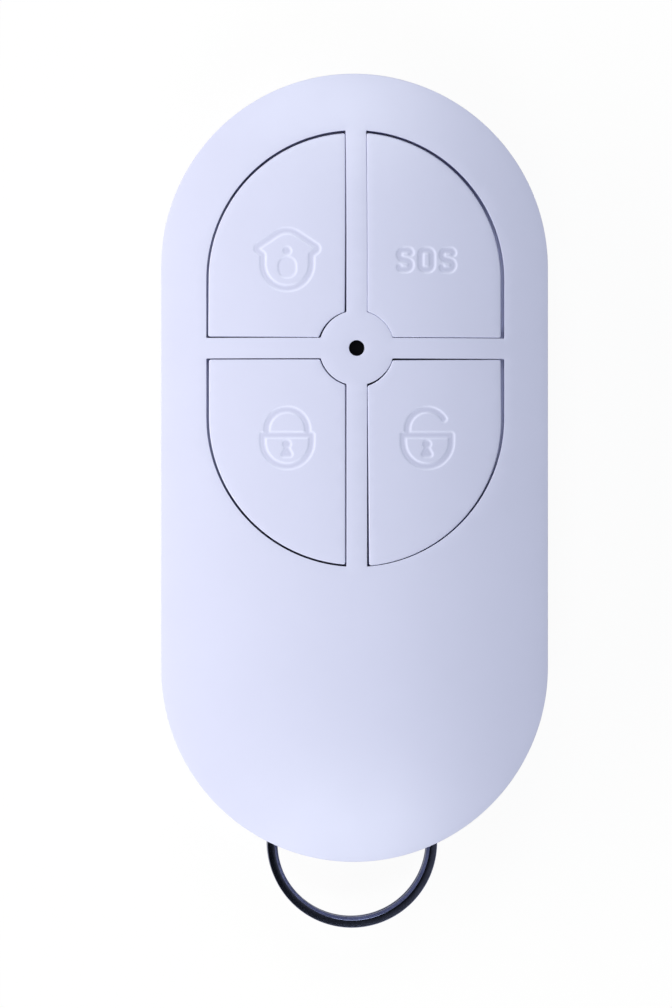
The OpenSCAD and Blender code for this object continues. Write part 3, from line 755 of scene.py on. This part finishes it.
def surface(name, colour, rough, grain, grain_depth, metal=0.0, mottle=0.04, mottle_size=6.0, **sockets):
    """A finish: colour and gloss vary over mottle_size, and grain of a size and depth shows as relief."""
    material = bpy.data.materials.new(name)
    tree, shader = shader_of(material)
    clouds = speckle(tree, 1 / (mottle_size * MM))
    share = ramp(tree, clouds, *NOISE_SPAN, 0.0, 1.0)
    dark = [c * (1 - mottle) for c in colour]
    light = [min(c * (1 + mottle), 1.0) for c in colour]
    tint = blend(tree, share, (*dark, 1), (*light, 1))
    # Painted shade darkens the colour by the stored value, and a painted highlight lightens it where that value is
    # negative
    soil = add(tree, "ShaderNodeAttribute", attribute_name="soil").outputs["Fac"]
    taken = [-shade for shade in PAINTED_SHADE]
    unshaded = add(tree, "ShaderNodeVectorMath", {0: soil, 1: taken, 2: (1, 1, 1)}, operation="MULTIPLY_ADD")
    seen = add(tree, "ShaderNodeVectorMath", {0: tint, 1: unshaded.outputs[0]}, operation="MULTIPLY")
    tree.links.new(seen.outputs[0], shader.inputs["Base Color"])
    gloss = ramp(tree, clouds, *NOISE_SPAN, rough * (1 + GLOSS_VARIES), rough * (1 - GLOSS_VARIES))
    tree.links.new(gloss, shader.inputs["Roughness"])
    relief = add(tree, "ShaderNodeBump", {
        "Height": speckle(tree, 1 / (grain * MM), GRAIN_DETAIL),
        "Distance": grain_depth * MM, "Strength": 1.0,
    })
    tree.links.new(relief.outputs[0], shader.inputs["Normal"])
    shader.inputs["Metallic"].default_value = metal
    for socket, value in sockets.items():
        shader.inputs[socket.replace("_", " ")].default_value = value
    return material


def board_mask():
    """Green solder mask with paler strips where tracks run under it."""
    material = surface("board_mask", MASK_GREEN, rough=0.3, grain=0.4, grain_depth=0.002)
    tree, shader = shader_of(material)
    place = add(tree, "ShaderNodeTexCoord").outputs["Object"]
    tracks = add(tree, "ShaderNodeTexBrick", {
        "Vector": place, "Scale": TRACK_SCALE, "Mortar Size": TRACK_SHARE, "Mortar Smooth": TRACK_SOFT,
        "Color1": (*MASK_GREEN, 1), "Color2": (*MASK_SHADE, 1), "Mortar": (*TRACK_GREEN, 1),
    })
    tree.links.new(tracks.outputs["Color"], shader.inputs["Base Color"])
    return material


FINISHES = {
    "white_plastic": surface("satin_white_case", COOL_WHITE, rough=0.36, mottle=0.012, mottle_size=9.0,
                             grain=0.16, grain_depth=0.0012),
    "button_plastic": surface("satin_white_cap", COOL_WHITE, rough=0.36, mottle=0.012, mottle_size=7.0,
                              grain=0.16, grain_depth=0.0012),
    "smoked_lens": surface("smoked_clear_plastic", (0.004, 0.004, 0.005), rough=0.3, grain=0.5,
                           grain_depth=0.001, Specular_IOR_Level=0.04),
    "lamp": surface("lamp_resin", (0.85, 0.82, 0.65), rough=0.2, grain=0.4, grain_depth=0.002),
    "board": board_mask(),
    "black_plastic": surface("moulded_black", (0.02, 0.02, 0.022), rough=0.5, mottle=0.12,
                             grain=0.12, grain_depth=0.004),
    "tin": surface("tinned_metal", (0.62, 0.62, 0.6), rough=0.35, metal=1.0, grain=0.2, grain_depth=0.004),
    "steel": surface("sheet_steel", (0.58, 0.59, 0.61), rough=0.3, metal=1.0, mottle_size=3.0,
                     grain=0.1, grain_depth=0.002),
    "screw_steel": surface("zinc_plate", (0.5, 0.5, 0.52), rough=0.32, metal=1.0, mottle=0.1,
                           mottle_size=1.5, grain=0.15, grain_depth=0.004),
    "copper": surface("bare_copper", (0.72, 0.4, 0.18), rough=0.32, metal=1.0, mottle=0.1,
                      grain=0.2, grain_depth=0.003),
    "ceramic": surface("fired_ceramic", (0.42, 0.3, 0.18), rough=0.55, mottle=0.1,
                       grain=0.1, grain_depth=0.004),
    "black_nickel": surface("black_nickel", (0.172, 0.19, 0.3), rough=0.14, metal=1.0, mottle=0.2,
                            mottle_size=1.6, grain=0.35, grain_depth=0.006,
                            Specular_Tint=(0.35, 0.36, 0.42, 1)),
}


def dress(piece, slot, body, *nodes):
    """Gives a piece its finish and body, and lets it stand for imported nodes."""
    piece.data.materials.clear()
    piece.data.materials.append(FINISHES[slot])
    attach(piece, body)
    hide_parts(*nodes)


# Shells

def both_sides(place):
    """A place on the right, and its mirror image on the left."""
    return [(side * place[0], place[1]) for side in (-1, 1)]


def partition_loop():
    """Plan of the wall between the ring's chamber and the board."""
    back_y = CHAMBER_Y + PARTITION_T
    half = [sqrt(INNER_R**2 - (y + END_Y) ** 2) if y < -END_Y else INNER_R for y in (CHAMBER_Y, back_y)]
    return np.array([(-half[0], CHAMBER_Y), (half[0], CHAMBER_Y), (half[1], back_y), (-half[1], back_y)])


def stand(solid, root_z, board_z):
    """Adds the partition and the ring's post, which end at the split, and what ends at the board."""
    solid.prism(partition_loop(), root_z, SPLIT_Z)
    solid.column((0, POST_Y), POST_D / 2, root_z, SPLIT_Z)
    for place in both_sides((SCREW_X, SCREW_Y)):
        solid.column(place, BOSS_R, root_z, board_z)
    for place in both_sides(STANDOFF):
        solid.column(place, STANDOFF_R, root_z, board_z)


def seam_rings(end_z, way):
    """Rings over the rounded end of a side wall that goes up from the seam, way 1, or down, way -1."""
    rings = []
    for turn in np.linspace(0, pi / 2, ROUND_STEPS):
        z = end_z + way * SEAM_R * (1 - sin(turn))
        rings.append(raised(body_outline(wall_r(z) - SEAM_R * (1 - cos(turn))), z))
    return rings


def front_openings(solid):
    """Walls of the four openings and the hub's window, and the outline of each on the face and under it."""
    outlines = []
    for place in PLACES.values():
        edge = edge_rings(lambda out: quarter(place, -out, OPENING_CORNER_R), FACE_EDGE_R, crown)
        under = quarter(place, 0, OPENING_CORNER_R)
        solid.loft(edge + [raised(under, FACE_UNDER)])
        outlines.append((edge[0][:, :2], under))
    window = edge_rings(lambda out: circle((0, FIELD_Y), WINDOW_D / 2 + out), WINDOW_EDGE_R, crown)
    under = circle((0, FIELD_Y), WINDOW_D / 2)
    solid.loft(window + [raised(under, FACE_UNDER)])
    outlines.append((window[0][:, :2], under))
    return outlines


def front_shell():
    """The crowned face with its four openings and the hub's window, its walls, and what stands under it."""
    solid = Solid()
    turns = np.linspace(EDGE_TURN, -SIDE_DRAFT, EDGE_STEPS + 1)
    rings = [
        raised(body_outline(EDGE_X + FRONT_EDGE_R * cos(t)), EDGE_Z + FRONT_EDGE_R * sin(t)) for t in turns
    ]
    face_loop = rings[0][:, :2]
    rings += seam_rings(SPLIT_Z + mouth_half(body_outline(wall_r(SPLIT_Z))), 1)
    inner, ceiling = body_outline(INNER_R), body_outline(CEILING_R)
    rings += [
        raised(inner, SPLIT_Z + mouth_half(inner)),
        raised(inner, SHOULDER_Z),
        raised(ceiling, SHOULDER_Z),
        raised(ceiling, FACE_UNDER),
    ]
    solid.loft(rings)

    openings = front_openings(solid)
    loops = [face_loop] + [top for top, under in openings]
    points = grid((-BODY_R, -END_Y - BODY_R), (BODY_R, END_Y + BODY_R), FACE_STEP)
    points = points[inside(face_loop, points)]
    for top in loops[1:]:
        points = points[~inside(top, points)]
    solid.fill(loops, crown, clear_of(points, np.concatenate(loops), CLEAR_SHARE * FACE_STEP))
    solid.fill([ceiling] + [under for top, under in openings], FACE_UNDER)
    stand(solid, FACE_UNDER + ROOT, board_high[2])
    return solid.build("front_shell")


def rear_shell():
    """The flat back with its rounded edge, the shadow line under the front shell, and the screw holes."""
    solid = Solid()
    reveal_z = SPLIT_Z - REVEAL_H
    inner = body_outline(INNER_R)
    step_in = body_outline(wall_r(reveal_z) - REVEAL_D)
    shelf_z = np.minimum(reveal_z, SPLIT_Z - mouth_half(body_outline(wall_r(reveal_z))))
    rings = [
        raised(inner, BACK_WALL),
        raised(inner, SPLIT_Z - mouth_half(inner)),
        raised(step_in, SPLIT_Z - mouth_half(step_in)),
        raised(step_in, shelf_z),
    ]
    rings += reversed(seam_rings(shelf_z, -1))
    back_x = wall_r(BACK_EDGE_R) - BACK_EDGE_R / cos(SIDE_DRAFT)
    for turn in np.linspace(SIDE_DRAFT, pi / 2, 2 * EDGE_STEPS + 1):
        rings.append(raised(body_outline(back_x + BACK_EDGE_R * cos(turn)), BACK_EDGE_R * (1 - sin(turn))))
    solid.loft(rings)
    solid.fill([inner], BACK_WALL)

    back_loops = [rings[-1][:, :2]]
    for place in both_sides((SCREW_X, SCREW_Y)):
        rim = []
        for turn in np.linspace(0, pi / 2, ROUND_STEPS):
            ring = circle(place, HEAD_HOLE_R + HOLE_EDGE_R * (1 - sin(turn)))
            rim.append(raised(ring, HOLE_EDGE_R * (1 - cos(turn))))
        seat = circle(place, HEAD_HOLE_R)
        solid.loft(rim + [raised(seat, HEAD_Z + HEAD_H)])
        solid.fill([seat], HEAD_Z + HEAD_H)
        back_loops.append(rim[0][:, :2])
    solid.fill(back_loops, 0.0)
    stand(solid, BACK_WALL - ROOT, board_low[2])
    return solid.build("rear_shell")


# Signs

class Sign:
    """A flat drawing of lines to engrave and of faces to sink, about its middle on the field."""

    def __init__(self, name):
        self.name = name + "_sign"
        self.middle = np.array(SIGN_MIDDLES[name]) + np.array([0, FIELD_Y])
        self.points = []
        self.edges = []
        self.faces = []

    def put(self, path, closed):
        """Adds a path of points and edges, and gives the points' numbers."""
        first = len(self.points)
        n = len(path)
        self.points += [tuple(p) for p in np.array(path) + self.middle]
        self.edges += [(first + i, first + (i + 1) % n) for i in range(n if closed else n - 1)]
        return list(range(first, first + n))

    def stroke(self, path, closed=False):
        """A line to engrave."""
        self.put(path, closed)

    def core(self, path):
        """The core of a solid mark, which the engraving widens by half a stroke."""
        self.faces.append(self.put(path, True))

    def box(self):
        """Lowest and highest corner of what the sign covers."""
        points = np.array(self.points)
        return points.min(axis=0) - HALF_STROKE, points.max(axis=0) + HALF_STROKE

    def build(self):
        """The drawing as an object of the scene."""
        mesh = bpy.data.meshes.new(self.name)
        mesh.from_pydata([(x * MM, y * MM, 0) for x, y in self.points], self.edges, self.faces)
        return placed(self.name, mesh)


def home_sign():
    """A house with a wide roof and a round foot, and a person in it."""
    sign = Sign("home")
    wall, wall_top, wall_foot, wall_bend = 2.3, 0.83, -0.05, 0.2
    eave, eave_y, eave_bend = 3.06, 1.43, 0.28
    ridge_y, ridge_bend = 3.48, 1.75
    foot = arc((0, wall_foot), wall, pi, 2 * pi, FOOT_STEPS)
    roof = rounded([
        (wall, wall_foot, 0), (wall, wall_top, wall_bend), (eave, eave_y, eave_bend),
        (0, ridge_y, ridge_bend),
        (-eave, eave_y, eave_bend), (-wall, wall_top, wall_bend), (-wall, wall_foot, 0),
    ], closed=False)
    sign.stroke(np.concatenate([foot, roof]), closed=True)
    head_y, head_r = 1.2, 0.11
    sign.stroke(circle((0, head_y), head_r, DOT_STEPS), closed=True)
    trunk, trunk_top, trunk_foot, shoulder, hem = 0.58, 0.36, -1.05, 0.55, 0.5
    sign.core(rounded([
        (trunk, trunk_foot, hem), (trunk, trunk_top, shoulder),
        (-trunk, trunk_top, shoulder), (-trunk, trunk_foot, hem),
    ]))
    return sign


def sos_sign():
    """The three letters of a call for help."""
    sign = Sign("sos")
    w, h, spread, bend, hook, slope, tip = 0.56, 0.92, 2.04, 0.42, 0.24, 0.14, 0.66
    for place in (-spread, spread):
        letter = [
            (w, tip, 0), (w, h, hook), (-w, h, bend), (-w, slope, bend), (w, -slope, bend), (w, -h, bend),
            (-w, -h, hook), (-w, -tip, 0),
        ]
        sign.stroke(rounded([(x + place, y, r) for x, y, r in letter], closed=False))
    sign.stroke(rounded([(w, h, bend), (-w, h, bend), (-w, -h, bend), (w, -h, bend)]), closed=True)
    return sign


def padlock_sign(name, shackle_end):
    """A padlock with a round foot and a keyhole, whose shackle runs from its left leg to an angle."""
    sign = Sign(name)
    body, body_top, loop, loop_y = 2.31, 0.66, 1.92, 1.15
    foot = arc((0, 0), body, pi, 2 * pi, FOOT_STEPS)
    sign.stroke(np.concatenate([foot, [(body, 0), (body, body_top), (-body, body_top)]]), closed=True)
    turn = np.linspace(pi, shackle_end, SHACKLE_STEPS)
    shackle = [(-loop, body_top), *zip(loop * np.cos(turn), loop_y + loop * np.sin(turn))]
    if shackle_end == 0:
        shackle.append((loop, body_top))
    sign.stroke(shackle)
    hole_x, eye_y, eye_r = -0.03, -0.2, 0.13
    sign.stroke(circle((hole_x, eye_y), eye_r, DOT_STEPS), closed=True)
    slit_top, slit_foot, top_half, foot_half = -0.74, -1.16, 0.03, 0.26
    sign.stroke([
        (hole_x - top_half, slit_top), (hole_x - foot_half, slit_foot),
        (hole_x + foot_half, slit_foot), (hole_x + top_half, slit_top),
    ], closed=True)
    return sign


SIGNS = {
    "home": home_sign(),
    "sos": sos_sign(),
    "arm": padlock_sign("arm", 0),
    "disarm": padlock_sign("disarm", SHACKLE_OPEN),
}


# Caps

def top_points(sign, top):
    """Points inside a cap's top outline, close together round its sign and wider apart further out."""
    sign_low, sign_high = sign.box()
    points, low, high = [], None, None
    for step, reach in CAP_BANDS:
        spots = grid(sign_low - reach, sign_high + reach, step)
        if low is not None:
            spots = spots[~((spots > low).all(axis=1) & (spots < high).all(axis=1))]
        low, high = sign_low - reach - step / 2, sign_high + reach + step / 2
        spots = spots[inside(top, spots)]
        points.append(clear_of(spots, top, CLEAR_SHARE * min(step, CLEAR_STEP)))
    return np.concatenate(points)


def cap_blank(name):
    """A hollow cap with a flange and a stem, flush with the crown, its top dense where its sign goes."""
    place = PLACES[name]
    across, along, turn = SEATS[name]
    middle = np.array([place[0] * FIELD_R / 2, FIELD_Y + place[1] * (FIELD_S + FIELD_R) / 2])
    spin = np.array([[cos(turn), sin(turn)], [-sin(turn), cos(turn)]])

    def outline(inset):
        """The cap's outline where it sits, drawn in by inset."""
        plan = quarter(place, inset, CAP_CORNER_R, RIM_GAP, BAR_GAP, CAP_REACH)
        return (plan - middle) @ spin + middle + np.array([across, along])

    solid = Solid()
    rings = edge_rings(outline, CAP_EDGE_R, crown)
    top = rings[0][:, :2]
    rings += [
        raised(outline(0), FACE_UNDER),
        raised(outline(-FLANGE_LIP), FACE_UNDER),
        raised(outline(-FLANGE_LIP), FLANGE_Z),
        raised(outline(CAP_WALL), FLANGE_Z),
        raised(outline(CAP_WALL), POCKET_Z),
    ]
    solid.loft(rings)
    solid.fill([rings[-1][:, :2]], POCKET_Z)
    solid.fill([top], crown, top_points(SIGNS[name], top))
    switch_low, switch_high = span(name + "_switch_plunger")
    solid.column((switch_low + switch_high)[:2] / 2, STEM_D / 2, STEM_Z, POCKET_Z + ROOT)
    return solid.build(name + "_cap")


def engraved_cap(name, engraver):
    """A cap with its sign sunk into its top."""
    drawing = SIGNS[name].build()
    cap = grow(cap_blank(name), engraver, {
        "Sign": drawing,
        "Half Stroke": HALF_STROKE * MM,
        "Edge": SIGN_EDGE * MM,
        "Depth": SIGN_DEPTH * MM,
        # Painted shade in the sunk lines and painted highlight on their lips
        "Dust": SIGN_GROOVE_SHADE,
        "Rub": SIGN_LIP_HIGHLIGHT,
        "Above": (POCKET_Z + SIGN_CLEARANCE) * MM,
        "Finish": FINISHES["button_plastic"],
    })
    bpy.data.objects.remove(drawing)
    return cap


# Ring, screws and domes

def key_ring():
    """Two turns of crowned wire, chamfered on its inner side."""
    blank = placed("key_ring_wire", bpy.data.meshes.new("key_ring_wire"))
    ring = grow(blank, ring_tree(), {
        "Middle": (0, RING_Y * MM, RING_Z * MM),
        "Radius": (RING_OUT_R - WIRE_W / 2) * MM,
        "Wire Width": WIRE_W * MM,
        "Wire Height": WIRE_FILL * WIRE_H * MM,
        "Pitch": WIRE_H * MM,
        "Inner Chamfer": WIRE_INNER_CHAMFER * MM,
        "Outer Chamfer": WIRE_OUTER_CHAMFER * MM,
        "Chamfer Rise": CHAMFER_RISE,
        "Ease": WIRE_EASE * MM,
        "Crown": WIRE_CROWN,
        "Step At": STEP_AT,
        "Step Span": STEP_SPAN,
        "Points": RING_POINTS,
        "Finish": FINISHES["black_nickel"],
    })
    mesh = ring.data
    bpy.data.objects.remove(ring)
    return finished(mesh, "key_ring_wire")


def cross_recess(share):
    """Outline of the recess in a screw's head, at a share of its full size."""
    tip, half = RECESS_L * share, RECESS_W * share
    quadrant = [(tip, -half, RECESS_TIP_R), (tip, half, RECESS_TIP_R), (half, half, RECESS_ROOT_R)]
    return rounded([
        (x * cos(turn) - y * sin(turn), x * sin(turn) + y * cos(turn), r * share)
        for turn in np.arange(4) * pi / 2 for x, y, r in quadrant
    ])


def screw_blank():
    """A screw with a low domed head and a cross recess, its head at the bottom."""
    solid = Solid()
    seat_z = HEAD_Z + HEAD_H
    tip_z = screw_high[2]
    tip_r = SHANK_R / 2
    section = [
        (HEAD_FLAT_R + (HEAD_R - HEAD_FLAT_R) * sin(turn), HEAD_Z + HEAD_DOME * (1 - cos(turn)))
        for turn in np.linspace(0, pi / 2, HEAD_STEPS + 1)
    ]
    section += [(HEAD_R, seat_z), (SHANK_R, seat_z), (SHANK_R, tip_z - POINT_L), (tip_r, tip_z)]
    solid.loft([raised(circle((0, 0), r), z) for r, z in section])
    solid.fill([circle((0, 0), tip_r)], tip_z)
    rim, bottom = cross_recess(1), cross_recess(RECESS_TAPER)
    solid.loft([raised(rim, HEAD_Z), raised(bottom, HEAD_Z + RECESS_D)])
    solid.fill([bottom], HEAD_Z + RECESS_D)
    solid.fill([circle((0, 0), HEAD_FLAT_R), rim], HEAD_Z)
    return solid.build("screw_blank")


def back_screws():
    """The two screws that hold the shells together."""
    blank = screw_blank()
    holder = placed("back_screws", bpy.data.meshes.new("back_screws"))
    screws = grow(holder, screws_tree(), {
        "Screw": blank,
        "First": (-SCREW_X * MM, SCREW_Y * MM, 0),
        "Apart": (2 * SCREW_X * MM, 0, 0),
        "Turn": SCREW_TURN,
        "Finish": FINISHES["screw_steel"],
    })
    bpy.data.objects.remove(blank)
    return screws


def snap_dome(name):
    """A welded copy of a switch's snap dome."""
    return finished(frame["nodes"][name + "_switch_dome"].data.copy(), name + "_dome")


# Lamps: places and sizes in metres, powers in watts, and whether they show in reflections
LAMPS = {
    "left_softbox": {
        "place": (-0.45, 0.0, 0.21), "size": (1.0, 0.3), "power": 3.65, "colour": (1.0, 0.955, 0.85),
        "mirrored": False,
    },
    "far_softbox": {
        "place": (0.0, 0.22, 0.27), "size": (0.2, 0.15), "power": 0.425, "colour": (0.92, 0.968, 1.0),
        "mirrored": True,
    },
    "near_softbox": {
        "place": (0.0, -0.22, 0.27), "size": (0.2, 0.15), "power": 0.5, "colour": (0.92, 0.968, 1.0),
        "mirrored": True,
    },
}

# Surround: its strength as light, and in reflections of its walls and, from left to right, of its ceiling
AMBIENT = 0.085
WALL_MIRROR = 0.7
WALL_TO_CEILING = (0.3, 0.8)
CEILING_REACH = (0.02, 0.27)
CEILING_MIRROR = (0.004, 0.25)

# Paper floor: half its width and its height in metres, its glow, and its shade, gloss and faint grain
FLOOR_HALF = 1.5
FLOOR_Z = -0.00002
PAPER_GLOW = 0.93
PAPER_SHADE = 0.8
PAPER_ROUGH = 0.9
PAPER_SCALE = 90.0
PAPER_GRAIN = (0.985, 1.0)

# View: pixels of the 672 by 1008 frame, millimetres, and the nearest distance shown in metres
FRAME_W, FRAME_H = 672, 1008
FOCAL_PX = 4149.4
AIM_PX = (352.1, 467.8)
AIM_Z = 6.0
VIEW_D = 400.0
VIEW_TURN = radians(-3.7)
SENSOR = 36.0
NEAREST = 0.01


def softbox(name, place, size, power, colour, mirrored):
    """A rectangular lamp that faces the middle of the fob, and shows in reflections or doesn't."""
    lamp = bpy.data.lights.new(name, "AREA")
    lamp.shape = "RECTANGLE"
    lamp.size, lamp.size_y = size
    lamp.energy = power
    lamp.color = colour
    light = placed(name, lamp)
    light.location = place
    light.visible_glossy = mirrored
    light.rotation_euler = (Vector((0, 0, TOP_Z * MM)) - Vector(place)).to_track_quat("-Z", "Y").to_euler()


def seen_white(tree, lit, mirrored):
    """1 for rays that show the background, lit for those that light the fob, mirrored for reflections."""
    rays = add(tree, "ShaderNodeLightPath").outputs
    direct = calc(tree, "MAXIMUM", rays["Is Camera Ray"], rays["Is Transmission Ray"])
    light = calc(tree, "MULTIPLY", rays["Is Diffuse Ray"], lit)
    return calc(tree, "MAXIMUM", direct, calc(tree, "MULTIPLY_ADD", rays["Is Glossy Ray"], mirrored, light))


def surround():
    """A white background, which shows in reflections as light walls and a dim ceiling."""
    world = bpy.data.worlds.new("studio")
    bpy.context.scene.world = world
    world.use_nodes = True
    tree = world.node_tree
    background = tree.nodes["Background"]
    background.inputs["Color"].default_value = (1, 1, 1, 1)
    way = add(tree, "ShaderNodeSeparateXYZ", {0: add(tree, "ShaderNodeTexCoord").outputs["Generated"]})
    ceiling = ramp(tree, way.outputs["X"], *CEILING_REACH, *CEILING_MIRROR)
    mirrored = ramp(tree, way.outputs["Z"], *WALL_TO_CEILING, WALL_MIRROR, ceiling)
    tree.links.new(seen_white(tree, AMBIENT, mirrored), background.inputs["Strength"])


def white_paper():
    """Paper that glows white where it is seen, and keeps a faint shadow."""
    paper = bpy.data.materials.new("white_paper")
    tree, shader = shader_of(paper)
    shader.inputs["Roughness"].default_value = PAPER_ROUGH
    shader.inputs["Specular IOR Level"].default_value = 0.0
    shader.inputs["Emission Color"].default_value = (1, 1, 1, 1)
    shown = seen_white(tree, 0.0, 1.0)
    tree.links.new(ramp(tree, shown, 0, 1, 0.0, PAPER_GLOW), shader.inputs["Emission Strength"])
    grain = ramp(tree, speckle(tree, PAPER_SCALE), *NOISE_SPAN, *PAPER_GRAIN)
    level = calc(tree, "MULTIPLY", grain, ramp(tree, shown, 0, 1, PAPER_SHADE, 1 - PAPER_GLOW))
    tint = add(tree, "ShaderNodeCombineColor", {0: level, 1: level, 2: level})
    tree.links.new(tint.outputs[0], shader.inputs["Base Color"])
    return paper


def floor():
    """A wide sheet of paper under the fob."""
    mesh = bpy.data.meshes.new("floor")
    corners = [(-1, -1), (1, -1), (1, 1), (-1, 1)]
    mesh.from_pydata([(x * FLOOR_HALF, y * FLOOR_HALF, FLOOR_Z) for x, y in corners], [], [(0, 1, 2, 3)])
    mesh.materials.append(white_paper())
    placed("floor", mesh)


def camera():
    """A long lens almost straight above the front face, a little to its left."""
    lens = bpy.data.cameras.new("camera")
    lens.sensor_fit = "VERTICAL"
    lens.sensor_height = SENSOR
    lens.lens = FOCAL_PX / FRAME_H * SENSOR
    lens.shift_x = (FRAME_W / 2 - AIM_PX[0]) / FRAME_H
    lens.shift_y = (AIM_PX[1] - FRAME_H / 2) / FRAME_H
    lens.clip_start = NEAREST
    eye = placed("camera", lens)
    eye.location = (VIEW_D * MM * sin(VIEW_TURN), 0, (AIM_Z + VIEW_D * cos(VIEW_TURN)) * MM)
    eye.rotation_euler = (0, VIEW_TURN, 0)
    bpy.context.scene.camera = eye


def main():
    """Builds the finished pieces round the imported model, and the stage they are shown on."""
    camera()
    surround()
    floor()
    for name, lamp in LAMPS.items():
        softbox(name, **lamp)
    for part in frame["record"]["subparts"]:
        mesh = frame["nodes"][part["node"]].data
        mesh.materials.clear()
        mesh.materials.append(FINISHES[part["material_slot"]])
    dress(front_shell(), "white_plastic", "case", "front_cover")
    dress(rear_shell(), "white_plastic", "case", "rear_cover")
    engraver = engraving_tree()
    for name in PLACES:
        dress(engraved_cap(name, engraver), "button_plastic", name + "_key", name + "_button")
        node = name + "_switch_dome"
        dome = snap_dome(name)
        dress(dome, "steel", "case", node)
        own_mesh(dome)
    dress(key_ring(), "black_nickel", "key_ring", "split_ring")
    dress(back_screws(), "screw_steel", "case", "case_screws")
    bpy.context.scene.view_settings.view_transform = "Standard"


main()
